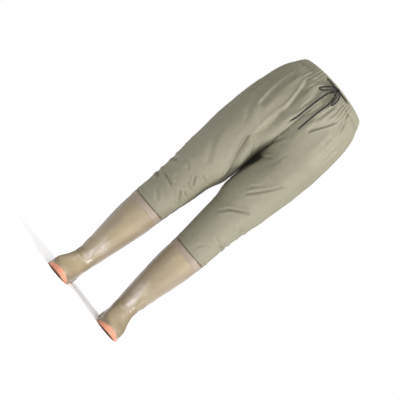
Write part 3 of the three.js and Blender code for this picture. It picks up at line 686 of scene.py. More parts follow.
class Paint:
    """A material whose nodes are added by one method."""

    def __init__(self, name, **constants):
        self.material = bpy.data.materials.new(name)
        self.material.use_nodes = True
        self.tree = self.material.node_tree
        self.tree.nodes.clear()
        output = self.tree.nodes.new("ShaderNodeOutputMaterial")
        self.shader = self.tree.nodes.new("ShaderNodeBsdfPrincipled")
        self.tree.links.new(self.shader.outputs[0], output.inputs[0])
        for key, value in constants.items():
            self.shader.inputs[key.replace("_", " ")].default_value = value
        self.place = self.node("ShaderNodeTexCoord", out="Object")

    def node(self, kind, settings=None, inputs=None, out=0):
        node = self.tree.nodes.new(kind)
        for key, value in (settings or {}).items():
            setattr(node, key, value)
        for key, value in (inputs or {}).items():
            if isinstance(value, Wire):
                self.tree.links.new(value.socket, node.inputs[key])
            else:
                node.inputs[key].default_value = value
        return Wire(self, node.outputs[out])

    def noise(self, scale, detail=3.0, stretch=(1, 1, 1)):
        vector = self.node("ShaderNodeMapping", inputs={"Vector": self.place, "Scale": stretch})
        return self.node("ShaderNodeTexNoise", inputs={"Vector": vector, "Scale": scale, "Detail": detail})

    def ramp(self, factor, low, high, bottom=0.0, top=1.0):
        return self.node("ShaderNodeMapRange", {"interpolation_type": "SMOOTHSTEP"},
                         {0: factor, 1: low, 2: high, 3: bottom, 4: top})

    def blend(self, factor, first, second):
        return self.node("ShaderNodeMix", {"data_type": "RGBA"},
                         {"Factor": factor, 6: colour(first), 7: colour(second)}, out=2)

    def attribute(self, name):
        return self.node("ShaderNodeAttribute", {"attribute_name": name}, out="Fac")

    def bump(self, height, strength, distance, under=None):
        inputs = {"Height": height, "Strength": strength, "Distance": distance}
        if under is not None:
            inputs["Normal"] = under
        return self.node("ShaderNodeBump", inputs=inputs)

    def feed(self, **links):
        for key, value in links.items():
            self.tree.links.new(value.socket, self.shader.inputs[key.replace("_", " ")])
        return self.material


def linear(value):
    return value / 12.92 if value <= 0.04045 else ((value + 0.055) / 1.055) ** 2.4


def colour(value):
    """A colour from a property, or a wire as it is."""
    if isinstance(value, Wire):
        return value
    return (*[linear(v) for v in value[:3]], 1.0)


def tint(value, factor, towards=(0.5, 0.5, 0.5), amount=0.0):
    return tuple(mix(v * factor, t, amount) for v, t in zip(value, towards))


def cloth_paint(colours):
    base = tuple(colours.cloth)
    paint = Paint("coated_cloth", Sheen_Weight=0.02, Sheen_Roughness=0.5, Coat_Roughness=0.4)
    broad = paint.ramp(paint.noise(5.5, 2), 0.35, 0.65)
    fine = paint.ramp(paint.noise(60, 4), 0.3, 0.7)
    skin = paint.blend(broad, tint(base, 0.965, (0.58, 0.56, 0.44), 0.1), tint(base, 1.02))
    skin = paint.blend(fine * 0.25, skin, tint(base, 0.9))
    # Painted shade: the cloth's colour is darkened to a dark brown in the cleft between the legs.
    skin = paint.blend(paint.attribute("hollow") * 0.96, skin, tint(base, 0.22, (0.2, 0.17, 0.1), 0.3))
    inside = paint.attribute("inside")
    skin = paint.blend(inside, skin, tuple(colours.lining))
    weave = paint.noise(1400, 1, (1, 1, 0.45)) + paint.noise(1400, 1, (0.45, 0.45, 1))
    crinkle = paint.noise(70, 5)
    normal = paint.bump(weave, 0.12, 0.0004)
    normal = paint.bump(crinkle, 0.22, 0.0016, normal)
    roughness = paint.ramp(paint.noise(18, 3), 0.3, 0.7, 0.58, 0.7)
    coat = paint.ramp(broad, 0, 1, 0.0, 0.05)
    return paint.feed(Base_Color=skin, Roughness=roughness, Normal=normal, Coat_Weight=coat)


def boot_paint(colours):
    base = tuple(colours.boot)
    paint = Paint("boot_pvc", Coat_Roughness=0.3, Subsurface_Weight=0.06, Subsurface_Scale=0.004)
    broad = paint.ramp(paint.noise(7, 2, (1, 1, 0.6)), 0.38, 0.62)
    cloud = paint.ramp(paint.noise(22, 4), 0.35, 0.7)
    skin = paint.blend(broad * 0.35, base, tuple(colours.boot_tone_and_side_shade))
    skin = paint.blend(cloud * 0.3, skin, tint(base, 1.05))
    # Painted shade: the colour darkens on the boot's sides, the more the more sideways they face.
    side = paint.attribute("side")
    skin = paint.blend(side * 0.65, skin, tuple(colours.boot_tone_and_side_shade))
    streaks = paint.ramp(paint.noise(55, 3, (1.6, 1, 0.4)), 0.25, 0.6)
    # Painted highlight: paler streaky patches above the ankles, where the lamps' shine falls.
    skin = paint.blend(paint.attribute("painted_highlight") * streaks, skin, tuple(colours.boot_painted_highlight))
    grain = paint.noise(260, 4)
    slack = paint.noise(34, 3)
    normal = paint.bump(grain, 0.05, 0.0005)
    normal = paint.bump(slack, 0.2, 0.002, normal)
    roughness = paint.ramp(cloud, 0, 1, 0.38, 0.5)
    coat = paint.ramp(broad, 0, 1, 0.5, 0.35)
    return paint.feed(Base_Color=skin, Roughness=roughness, Normal=normal, Coat_Weight=coat)


def collar_paint(colours):
    base = tuple(colours.collar)
    paint = Paint("collar_pvc", Coat_Roughness=0.3)
    cloud = paint.ramp(paint.noise(30, 4), 0.35, 0.65)
    skin = paint.blend(cloud, base, tint(base, 0.93))
    # A darker line along the band's top, just under the hem's edge.
    seam = paint.attribute("seam")
    skin = paint.blend(seam, skin, tuple(colours.dark_line))
    normal = paint.bump(paint.noise(300, 4), 0.08, 0.0006)
    roughness = paint.ramp(cloud, 0, 1, 0.42, 0.52)
    coat = paint.ramp(cloud, 0, 1, 0.1, 0.16)
    return paint.feed(Base_Color=skin, Roughness=roughness, Normal=normal, Coat_Weight=coat)


def sole_paint(colours):
    base = tuple(colours.sole)
    paint = Paint("sole_pvc", Coat_Roughness=0.3)
    cloud = paint.ramp(paint.noise(40, 4), 0.35, 0.65)
    skin = paint.blend(cloud, base, tint(base, 0.92, (0.8, 0.5, 0.3), 0.1))
    side = paint.attribute("margin")
    skin = paint.blend(side, skin, tuple(colours.sole_margin))
    dusk = paint.attribute("dusk")
    skin = paint.blend(dusk, skin, tuple(colours.sole_dusk))
    normal = paint.bump(paint.noise(350, 4), 0.1, 0.0006)
    roughness = paint.ramp(cloud, 0, 1, 0.4, 0.52)
    return paint.feed(Base_Color=skin, Roughness=roughness, Normal=normal)


def insole_paint(colours):
    base = tuple(colours.insole)
    paint = Paint("insole_felt", Sheen_Weight=0.3)
    mottle = paint.ramp(paint.noise(90, 5), 0.35, 0.65)
    skin = paint.blend(mottle, base, tint(base, 0.88))
    normal = paint.bump(paint.noise(700, 5), 0.4, 0.0008)
    roughness = paint.ramp(mottle, 0, 1, 0.85, 0.95)
    return paint.feed(Base_Color=skin, Roughness=roughness, Normal=normal)


def cord_paint(colours):
    """Braid: two crossing sets of strands on the cord's own u and v."""
    base = tuple(colours.cord)
    paint = Paint("braided_cord", Sheen_Weight=0.12)
    place = paint.node("ShaderNodeTexCoord", out="UV")
    u = paint.node("ShaderNodeSeparateXYZ", inputs={0: place}, out=0)
    v = paint.node("ShaderNodeSeparateXYZ", inputs={0: place}, out=1)
    strands = 8
    pitch = 420.0
    one = paint.node("ShaderNodeMath", {"operation": "SINE"}, {0: (u * pitch + v * strands) * math.tau})
    two = paint.node("ShaderNodeMath", {"operation": "SINE"}, {0: (u * pitch - v * strands) * math.tau})
    braid = paint.node("ShaderNodeMath", {"operation": "MAXIMUM"}, {0: one, 1: two})
    # Painted shade and light: the grooves between the strands are darkened and the strands' crowns lightened in
    # the colour.
    skin = paint.blend(paint.ramp(braid, 0.2, 1), tint(base, 0.45), tint(base, 1.25))
    skin = paint.blend(paint.ramp(paint.noise(120, 3), 0.4, 0.7) * 0.35, skin, tint(base, 1.5))
    normal = paint.bump(braid, 0.5, 0.0005)
    roughness = paint.ramp(braid, 0, 1, 0.9, 0.7)
    return paint.feed(Base_Color=skin, Roughness=roughness, Normal=normal)


def thread_paint(colours):
    base = tuple(colours.thread)
    paint = Paint("thread", Sheen_Weight=0.2)
    mottle = paint.ramp(paint.noise(400, 2), 0.35, 0.65)
    skin = paint.blend(mottle, base, tint(base, 0.85))
    normal = paint.bump(paint.noise(2500, 2), 0.3, 0.0002)
    roughness = paint.ramp(mottle, 0, 1, 0.65, 0.8)
    return paint.feed(Base_Color=skin, Roughness=roughness, Normal=normal)


PAINTS = {}


def paint_of(make):
    """Each material is made once."""
    name = make.__name__
    if name not in PAINTS:
        PAINTS[name] = make(bpy.context.scene.wader_colours)
    return PAINTS[name]


# Properties

class WaderSizes(bpy.types.PropertyGroup):
    cloth: FloatProperty(
        name="Cloth", description="Thickness of the coated cloth", default=CLOTH * MM,
        min=0.0005, max=0.003, unit="LENGTH")
    boot_wall: FloatProperty(
        name="Boot wall", description="Thickness of the boot's wall", default=BOOT_WALL * MM,
        min=0.001, max=0.004, unit="LENGTH")
    cord: FloatProperty(
        name="Cord", description="Diameter of the drawstring", default=CORD * MM,
        min=0.002, max=0.008, unit="LENGTH")
    gather: FloatProperty(
        name="Gather", description="Depth of the gathers in the waistband", default=0.0027,
        min=0.0, max=0.004, unit="LENGTH")
    gathers: IntProperty(
        name="Gathers", description="Number of gathers round the waist", default=74, min=20, max=160)
    stitch: FloatProperty(
        name="Stitch", description="Length of one stitch", default=0.0026,
        min=0.001, max=0.006, unit="LENGTH")
    stitch_gap: FloatProperty(
        name="Stitch gap", description="Gap between two stitches", default=0.0012,
        min=0.0003, max=0.004, unit="LENGTH")
    thread: FloatProperty(
        name="Thread", description="Radius of the sewing thread", default=0.00028,
        min=0.0001, max=0.001, unit="LENGTH")


def colour_property(name, description, default):
    return FloatVectorProperty(
        name=name, description=description, subtype="COLOR_GAMMA", size=3, min=0, max=1, default=default)


class WaderColours(bpy.types.PropertyGroup):
    cloth: colour_property("Cloth", "Coated cloth", (0.515, 0.500, 0.425))
    lining: colour_property("Lining", "Inner face of the cloth", (0.45, 0.45, 0.41))
    boot: colour_property("Boot", "Moulded boot", (0.625, 0.565, 0.440))
    # Used both for random pinker tone and for the painted shade on the boots' sides.
    boot_tone_and_side_shade: colour_property("Boot shade", "Pinker areas of the boot", (0.470, 0.412, 0.368))
    # Colour of the painted highlights above the ankles.
    boot_painted_highlight: colour_property("Boot bloom", "Paler places where the boot bends", (0.830, 0.800, 0.795))
    collar: colour_property("Collar", "Band under the hem", (0.600, 0.545, 0.485))
    # Colour of the darker line along the band's top, under the hem's edge.
    dark_line: colour_property("Seam", "Dark line under the hem", (0.36, 0.30, 0.24))
    sole: colour_property("Sole", "Toe and underside of the sole", (0.920, 0.630, 0.520))
    sole_margin: colour_property("Sole margin", "Sides of the sole", (0.600, 0.540, 0.470))
    sole_dusk: colour_property("Sole edge", "Ends and lower edge of the toe's colour", (0.52, 0.36, 0.27))
    insole: colour_property("Insole", "Felt insole", (0.80, 0.77, 0.70))
    cord: colour_property("Cord", "Drawstring", (0.030, 0.026, 0.029))
    thread: colour_property("Thread", "Sewing thread", (0.47, 0.46, 0.39))


# Stage

STAGE_CENTRE = (-0.0068, 0.0, 0.5086)
FRAME_WIDTH = 1.3248
CAMERA_DISTANCE = 6.0
CAMERA_ROLL = math.radians(49.9)
SENSOR = 36.0
FLOOR_REACH = 7000


def build_stage():
    """A flat pale floor, a white surround, soft lights and the camera."""
    corners = [(x, y, 0) for y in (-FLOOR_REACH, FLOOR_REACH) for x in (-FLOOR_REACH, FLOOR_REACH)]
    floor = new_object("studio_floor", corners, [[0, 1, 3, 2]])
    paint = Paint("studio_white", Roughness=0.95)
    shade = paint.ramp(paint.noise(1.5, 2), 0.3, 0.7)
    white = paint.blend(shade, (0.965, 0.965, 0.965), (0.975, 0.975, 0.975))
    floor.data.materials.append(paint.feed(Base_Color=white))

    world = bpy.data.worlds.new("studio")
    world.use_nodes = True
    tree = world.node_tree
    seen = tree.nodes["Background"]
    seen.inputs["Color"].default_value = (1.0, 1.0, 1.0, 1.0)
    seen.inputs["Strength"].default_value = 1.0
    ambient = tree.nodes.new("ShaderNodeBackground")
    ambient.inputs["Strength"].default_value = 0.12
    path = tree.nodes.new("ShaderNodeLightPath")
    both = tree.nodes.new("ShaderNodeMixShader")
    tree.links.new(path.outputs["Is Camera Ray"], both.inputs[0])
    tree.links.new(ambient.outputs[0], both.inputs[1])
    tree.links.new(seen.outputs[0], both.inputs[2])
    tree.links.new(both.outputs[0], tree.nodes["World Output"].inputs[0])
    bpy.context.scene.world = world

    sun = bpy.data.lights.new("overhead", "SUN")
    sun.energy = 3.2
    sun.angle = math.radians(70)
    bpy.context.scene.collection.objects.link(bpy.data.objects.new("overhead", sun))

    lights = [
        # name, place, aim, size, power
        ("key", (4.6, -2.5, 2.2), (0, 0, 0.6), 1.1, 268),
        ("fill", (-1.6, -5.2, 1.0), (0, 0, 0.5), 1.8, 26),
        ("front", (0.9, -4.6, 2.8), (0, 0, 0.3), 1.5, 34),
    ]
    for name, place, goal, size, power in lights:
        data = bpy.data.lights.new(name, "AREA")
        data.shape = "SQUARE"
        data.size = size
        data.energy = power
        lamp = bpy.data.objects.new(name, data)
        lamp.location = place
        aim = Vector(goal) - Vector(place)
        lamp.rotation_euler = aim.to_track_quat("-Z", "Y").to_euler()
        bpy.context.scene.collection.objects.link(lamp)

    data = bpy.data.cameras.new("camera")
    data.sensor_width = SENSOR
    data.lens = SENSOR * CAMERA_DISTANCE / FRAME_WIDTH
    data.clip_end = 50
    camera = bpy.data.objects.new("camera", data)
    c, s = math.cos(CAMERA_ROLL), math.sin(CAMERA_ROLL)
    right = Vector((c, 0, s))
    up = Vector((-s, 0, c))
    toward = right.cross(up)
    turn = Matrix((right, up, toward)).transposed().to_4x4()
    place = Vector(STAGE_CENTRE) - Vector((0, CAMERA_DISTANCE, 0))
    camera.matrix_world = Matrix.Translation(place) @ turn
    bpy.context.scene.collection.objects.link(camera)
    bpy.context.scene.camera = camera
    bpy.context.scene.view_settings.view_transform = "Standard"


# Trousers

RISE_ROWS = 112
LEG_ROWS = 132
HALF_COLUMNS = 184
SEAM_LEFT, SEAM_RIGHT = -3, 16
SEAM_EDGE = 0.8
SEAM_STEP = 0.9
SEAM_END = 800
SWELLS = [
    # how deep, their size across, along and up, and where the noise is read
    (2.3, (70, 80, 190), 0),
    (1.0, (34, 40, 70), 500),
]
CRUMPLE = 0.7
CREASE = 1.5
TUCK = 2.2
PLEAT = 0.75


def cloth_rows():
    """Heights of the cloth's rows: closer together at the waist, the crotch and the hem."""
    t = np.linspace(1, 0, RISE_ROWS)
    rise = CROTCH_HEIGHT + (BAND_LOW - FIT - CROTCH_HEIGHT) * (0.55 * t + 0.45 * t ** 2)
    hem_top = BOOT_HEIGHT + HEM_FOLD
    leg = np.linspace(CROTCH_HEIGHT, hem_top + HEM_STEP, LEG_ROWS)[1:]
    hem = np.concatenate([[hem_top], np.linspace(hem_top - 2, BOOT_HEIGHT + 1, 5), [BOOT_HEIGHT]])
    return np.concatenate([rise, leg, hem])


def gather_wave(turn, sizes):
    """The gathers' depth round the waist, in millimetres: deepest at the sides, none at the bow."""
    starts = np.random.RandomState(5).uniform(0, 6, 4)
    waves = zip((3, 5, 9, 14), (0.5, 0.35, 0.3, 0.2), starts)
    wobble = sum(height * np.sin(count * turn + start) for count, height, start in waves)
    swell = 0.6 + 0.4 * np.sin(7 * turn + 1.0) * np.sin(4 * turn + 2.2)
    sides = mix(0.35, 1.0, np.abs(np.sin(turn)) ** 0.8)
    bow = smooth(np.abs(turn - 0.1), 0.25, 0.6)
    wave = np.sin(sizes.gathers * turn + 2.4 * wobble)
    return sizes.gather / MM * wave * swell * sides * mix(0.25, 1.0, bow)


def cloth_offsets(points, normals, sizes):
    """How far the cloth's face stands off its plain form, in millimetres."""
    x, y, z = points.T
    offset = fold_offsets(points, normals, CLOTH_FOLDS)
    drape = SoftNoise(11)
    crumple = SoftNoise(23)
    calm = smooth(z, BOOT_HEIGHT, BOOT_HEIGHT + 40) * (1 - smooth(z, BAND_LOW - 40, BAND_LOW))
    for deep, size, shift in SWELLS:
        offset += deep * drape.at(points + shift, size) * calm
    patches = smooth(crumple.at(points, (90, 90, 120)), -0.1, 0.6)
    offset += CRUMPLE * crumple.at(points, (13, 13, 17)) * patches * calm
    crease = 1 - np.abs(crumple.at(points + 77, (42, 48, 38)))
    offset -= CREASE * crease ** 7 * calm * smooth(drape.at(points + 333, (80, 80, 110)), -0.25, 0.45)
    turn = np.arctan2(x, AXIS_Y - y)
    offset += gather_wave(turn, sizes) * smooth(z, BAND_LOW - 75, BAND_LOW - 8)
    tight = np.maximum(np.sin(58 * turn + 2.0 * drape.at(points + 700, (60, 60, 60))), 0) ** 2
    tuck = smooth(z, BAND_LOW - 48, BAND_LOW - 20) * (1 - smooth(z, BAND_LOW - 8, BAND_LOW))
    offset -= TUCK * tight * tuck * mix(0.25, 1.0, np.abs(np.sin(turn)) ** 0.8)
    sway = drape.at(points + 900, (50, 50, 120))
    pleat = np.sin(31 * turn + 3.2 * sway) + 0.6 * np.sin(47 * turn - 2.6 * sway)
    offset += PLEAT * pleat * smooth(z, SEAM_END + 30, SEAM_END + 210) * (1 - smooth(z, BAND_LOW - 14, BAND_LOW))
    offset += HEM_STEP * (1 - smooth(z, BOOT_HEIGHT + HEM_FOLD - 0.1, BOOT_HEIGHT + HEM_FOLD + 0.5))
    in_front = smooth(-normals[:, 1], 0.3, 0.6)
    begun, ended = (smooth(x, edge - SEAM_EDGE, edge + SEAM_EDGE) for edge in (SEAM_LEFT, SEAM_RIGHT))
    strip = begun * (1 - ended)
    offset += SEAM_STEP * strip * in_front * smooth(z, SEAM_END, SEAM_END + 12)
    return offset


def crotch_shade(points, normals):
    """Painted shade in the cleft between the legs: how much the cloth's colour is darkened there."""
    x, _, z = points.T
    top = CROTCH_HEIGHT - 12
    foot = THIGHS_PART_HEIGHT - 15
    middle = mix(7, 1, smooth(top - z, 0, 70))
    wide = mix(4.5, 13, smooth(z, top - 52, top - 10) * (1 - smooth(z, top - 2, top + 14)))
    span = smooth(z, foot, foot + 50) * (1 - smooth(z, top, top + 14))
    return np.exp(-((x - middle) / wide) ** 2) * span * smooth(-normals[:, 1], -0.3, 0.2)


def build_trousers():
    """The cloth: a half for each leg with folds, seams and a turned-up hem, as a thin wall."""
    sizes = bpy.context.scene.wader_sizes
    z = cloth_rows()[:, None]
    t = np.linspace(-1, 1, HALF_COLUMNS)
    share = (t + 0.22 * (t * t - 1))[None, :]
    base = cloth_half(z, share)
    normal = grid_normals(base)
    seam = (z > CROTCH_HEIGHT) & (np.abs(share) == 1)
    normal[..., 0] = np.where(seam, 0, normal[..., 0])
    rows, columns = base.shape[:2]
    joined = z[:, 0] > CROTCH_HEIGHT
    for hand, side in HANDS.items():
        flip = np.array([side, 1, 1])
        points = (base * flip).reshape(-1, 3)
        normals = (normal * flip).reshape(-1, 3)
        moved = points + normals * cloth_offsets(points, normals, sizes)[:, None]
        near_hem = 1 - smooth(moved[:, 2], BOOT_HEIGHT, BOOT_HEIGHT + 14)
        moved[:, 2] += (0.7 + 0.9 * SoftNoise(61).at(moved, (26, 26, 400))) * near_hem
        moved = moved.reshape(rows, columns, 3)
        moved[joined, 0, 0] = moved[joined, -1, 0] = 0
        middle = (moved[~joined, 0] + moved[~joined, -1]) / 2
        moved[~joined, 0] = moved[~joined, -1] = middle
        moved[..., 0] = side * np.maximum(side * moved[..., 0], 0)
        cloth = new_object(f"trousers_{hand}", moved, grid_faces(rows, columns, flip=side < 0))
        # Painted shade for the cleft between the legs, kept on the cloth as a point attribute.
        store(cloth, "hollow", crotch_shade(points, normals))
        apply_modifiers(cloth, [("WELD", {"merge_threshold": 0.01 * MM})])
        outside = len(cloth.data.vertices)
        wall(cloth, sizes.cloth / MM)
        inside = np.zeros(len(cloth.data.vertices))
        inside[outside:] = 1
        store(cloth, "inside", inside)
        cloth.data.shade_smooth()
        finish_piece(cloth, paint_of(cloth_paint), "cloth", f"trouser_{hand}")


# Waistband

BAND_COLUMNS = 720
BAND_LAP = 2.6


def build_waistband():
    """The drawstring casing: gathered, with a swell that fades out towards its lower edge."""
    sizes = bpy.context.scene.wader_sizes
    turn = np.linspace(0, 2 * math.pi, BAND_COLUMNS, endpoint=False)[None, :]
    profile = []
    steps = 22
    for k in range(steps + 1):
        t = k / steps
        z = WAIST_HEIGHT - t * BAND_HEIGHT
        belly = smooth(t, 0, 0.14) * (1 - smooth(t, 0.5, 1))
        profile.append((z, BAND_SWELL * 1.3 * belly, 1.0))
    for down, out in ((0, 0.7), (BAND_LAP, 0.9), (BAND_LAP, 1.7)):
        profile.append((BAND_LOW - down, -CLOTH - out, 1.0))
    for k in range(steps, -1, -1):
        t = k / steps
        z = WAIST_HEIGHT - t * BAND_HEIGHT
        belly = math.sin(math.pi * t) ** 0.6
        profile.append((z, -BAND_WALL + 1.2 * (1 - belly), 0.7))
    rings = []
    for z, out, depth in profile:
        near_edge = 1 - 0.35 * smooth(z, WAIST_HEIGHT - 3, WAIST_HEIGHT)
        plain = waist_point(turn, z + 0 * turn, out)
        wave = gather_wave(np.arctan2(plain[..., 0], AXIS_Y - plain[..., 1]), sizes) * depth * near_edge
        ring = waist_point(turn, z + 0 * turn, out + wave)
        ring[..., 2] -= 0.35 * wave * smooth(z, WAIST_HEIGHT - 6, WAIST_HEIGHT) + 0.5
        rings.append(ring[0])
    rings = np.array(rings + [rings[0]])
    faces = grid_faces(len(rings), BAND_COLUMNS, closed=True)
    band = new_object("waistband_casing", rings, faces, weld=0.005)
    store(band, "inside", np.zeros(len(band.data.vertices)))
    store(band, "hollow", np.zeros(len(band.data.vertices)))
    band.data.shade_smooth()
    finish_piece(band, paint_of(cloth_paint), "cloth", "waistband")


# Boots

BOOT_COLUMNS = 176
BOOT_ROW_SHARE = 8
BOOT_SLACK = 0.8
# Painted highlights on the boots' fronts above the ankles, where the lamps' shine falls.
PAINTED_HIGHLIGHTS = [
    # how strong, the middle's distance from the wader's and its half width, its height and half height
    (0.85, 103, 12, 118, 25),
    (0.5, 96, 19, 165, 27),
]


def ankle_painted_highlight(points, normals):
    """Painted highlights: paler patches on the front of the shaft above each ankle, where the lamps' shine
    falls.
    """
    x, _, z = points.T
    pale = sum(strength * np.exp(-((np.abs(x) - place) / wide) ** 2 - ((z - height) / tall) ** 2)
               for strength, place, wide, height, tall in PAINTED_HIGHLIGHTS)
    return pale * smooth(-normals[:, 1], 0.3, 0.8)


def build_boots():
    """Both boots' hollow uppers, with soft folds at the ankle."""
    sizes = bpy.context.scene.wader_sizes
    index = np.linspace(0, SOLE_ROW, BOOT_ROW_SHARE * SOLE_ROW + 1)[:, None]
    turn = np.linspace(0, 2 * math.pi, BOOT_COLUMNS, endpoint=False)[None, :]
    base, _ = boot_face(index, turn)
    wrapped = np.concatenate([base[:, -1:], base, base[:, :1]], axis=1)
    normal = grid_normals(wrapped)[:, 1:-1]
    slack = SoftNoise(41)
    for hand, side in HANDS.items():
        flip = np.array([side, 1, 1])
        points = (base * flip).reshape(-1, 3)
        normals = (normal * flip).reshape(-1, 3)
        z = points[:, 2]
        offset = fold_offsets(points, normals, BOOT_FOLDS)
        calm = smooth(z, 40, 90) * (1 - smooth(z, COLLAR_LOW - 14, COLLAR_LOW))
        offset += BOOT_SLACK * slack.at(points + side * 300, (32, 32, 46)) * calm
        moved = points + normals * offset[:, None]
        rows = len(index)
        boot = new_object(f"boot_{hand}", moved, grid_faces(rows, BOOT_COLUMNS, closed=True, flip=side < 0))
        # Painted shade on the boot's sides: how sideways each point faces.
        store(boot, "side", np.abs(normals[:, 0]) ** 2)
        # Painted highlight above the ankles, kept as a point attribute.
        store(boot, "painted_highlight", ankle_painted_highlight(points, normals))
        wall(boot, sizes.boot_wall / MM)
        boot.data.shade_smooth()
        finish_piece(boot, paint_of(boot_paint), "boot_pvc", f"boot_upper_{hand}")


# Collar bands

COLLAR_RIBS = (0.3, 0.42, 0.86)
COLLAR_RIB_WIDTH = 0.022


def build_collars():
    """The welded band round each shaft: a darker line along its top, under the hem's edge, then low ribs."""
    turn = np.linspace(0, 2 * math.pi, BOOT_COLUMNS, endpoint=False)[None, :]
    span = BOOT_FORM.key
    profile = []
    steps = 52
    for k in range(steps + 1):
        t = k / steps
        rib = sum(math.exp(-((t - place) / COLLAR_RIB_WIDTH) ** 2) for place in COLLAR_RIBS)
        edge = smooth(t, 0, 0.06) * (1 - smooth(t, 0.95, 1.0))
        # Share of the darker line along the band's top, which also lowers the band there.
        dark_line = 1 - smooth(t, 0.13, 0.19)
        profile.append((t, FIT + COLLAR_WALL * edge * (0.72 + 0.28 * rib) * (1 - 0.35 * dark_line), dark_line))
    profile += [(1.0, FIT * 0.9, 0.0), (0.0, FIT * 0.9, 1.0)]
    for hand, side in HANDS.items():
        rings, dark_lines = [], []
        for t, out, dark_line in profile:
            index = np.full((1, 1), span[1] + t * (span[2] - span[1]))
            ring, _ = boot_face(index, turn, out)
            rings.append(ring[0] * (side, 1, 1))
            dark_lines.append(np.full(BOOT_COLUMNS, dark_line))
        rings.append(rings[0])
        faces = grid_faces(len(rings) - 1, BOOT_COLUMNS, closed=True, flip=side < 0)
        last = (len(rings) - 2) * BOOT_COLUMNS
        j = np.arange(BOOT_COLUMNS)
        lid = np.stack([last + j, j, (j + 1) % BOOT_COLUMNS, last + (j + 1) % BOOT_COLUMNS], -1)
        faces = np.vstack([faces, lid[:, ::-1] if side < 0 else lid])
        band = new_object(f"collar_{hand}", np.array(rings[:-1]), faces)
        store(band, "seam", np.array(dark_lines))
        soften(band, 50)
        finish_piece(band, paint_of(collar_paint), "band_pvc", f"collar_band_{hand}")


# Soles

SOLE_SIDE = [
    # share of the thickness from the top edge down, and how far out, in lips
    (0, 0.8), (0.05, 0.95), (0.14, 1.0), (0.28, 1.0), (0.32, 0.8), (0.38, 0.35), (0.47, 0.3), (0.56, 0.35),
    (0.6, 0.75), (0.64, 1.0), (0.76, 1.0), (0.88, 0.9), (0.94, 0.5), (1, -0.5),
]


def lid_faces(start, columns, flip):
    """Strips across a ring that starts at the toe and runs the same on both sides."""
    half = columns // 2
    faces = [[0, 1, columns - 1]]
    faces += [[j, j + 1, columns - j - 1, columns - j] for j in range(1, half - 1)]
    faces.append([half - 1, half, half + 1])
    return [[start + v for v in (face[::-1] if flip else face)] for face in faces]


def groove_places():
    """How far along the foot each chevron lies, and how high the ground line is there."""
    first = HEEL_REACH - BALL_BACK * FOOT_LENGTH - LUG_PITCH
    last = HEEL_REACH - 0.93 * FOOT_LENGTH
    places = list(np.arange(first, last, -LUG_PITCH))
    heel_first = HEEL_REACH - LUG_PITCH * 1.2
    heel_last = HEEL_REACH - HEEL_FRONT * FOOT_LENGTH + LUG_PITCH * 0.8
    places += list(np.arange(heel_first, heel_last, -LUG_PITCH))
    return [(y, float(ground_line(y))) for y in places]


def prism(outline, low, high):
    """Points and faces of an upright prism on an anticlockwise outline."""
    count = len(outline)
    points = [(x, y, low) for x, y in outline] + [(x, y, high) for x, y in outline]
    faces = [list(range(count))[::-1], list(range(count, 2 * count))]
    faces += [[k, (k + 1) % count, count + (k + 1) % count, count + k] for k in range(count)]
    return points, faces


def sole_cutters():
    """The chevron grooves and the hollow under the arch, as one mesh along the foot."""
    points, faces = [], []

    def put(new_points, new_faces):
        start = len(points)
        points.extend(new_points)
        faces.extend([[start + v for v in face] for face in new_faces])

    wing, sweep, half = BALL_WIDTH * 0.75, LUG_PITCH * 0.7, LUG_GROOVE / 2
    for y, ground in groove_places():
        outline = [(-wing, y + sweep - half), (0, y - half), (wing, y + sweep - half),
                   (wing, y + sweep + half), (0, y + half), (-wing, y + sweep + half)]
        put(*prism(outline, -2 * TOE_SPRING, ground + LUG_HEIGHT))
    breast = HEEL_REACH - HEEL_FRONT * FOOT_LENGTH
    ball = HEEL_REACH - BALL_BACK * FOOT_LENGTH
    curve = [(breast, ARCH_RISE * 0.85), (breast - ARCH_RISE * 0.6, ARCH_RISE)]
    for t in np.linspace(0.2, 1, 9):
        curve.append((mix(breast, ball, t), ARCH_RISE * (1 - t ** 2.4)))
    profile = [(breast, -ARCH_RISE)] + curve + [(ball, -ARCH_RISE)]
    count = len(profile)
    for x in (-BALL_WIDTH, BALL_WIDTH):
        points.extend([(x, y, z) for y, z in profile])
    start = len(points) - 2 * count
    faces.append([start + k for k in range(count)])
    faces.append([start + count + k for k in range(count)][::-1])
    faces.extend([[start + (k + 1) % count, start + k, start + count + k, start + count + (k + 1) % count]
                  for k in range(count)])
    return np.array(points, float), faces


def recalculate(obj):
    """Points all faces outwards."""
    work = bmesh.new()
    work.from_mesh(obj.data)
    bmesh.ops.recalc_face_normals(work, faces=work.faces)
    work.to_mesh(obj.data)
    work.free()


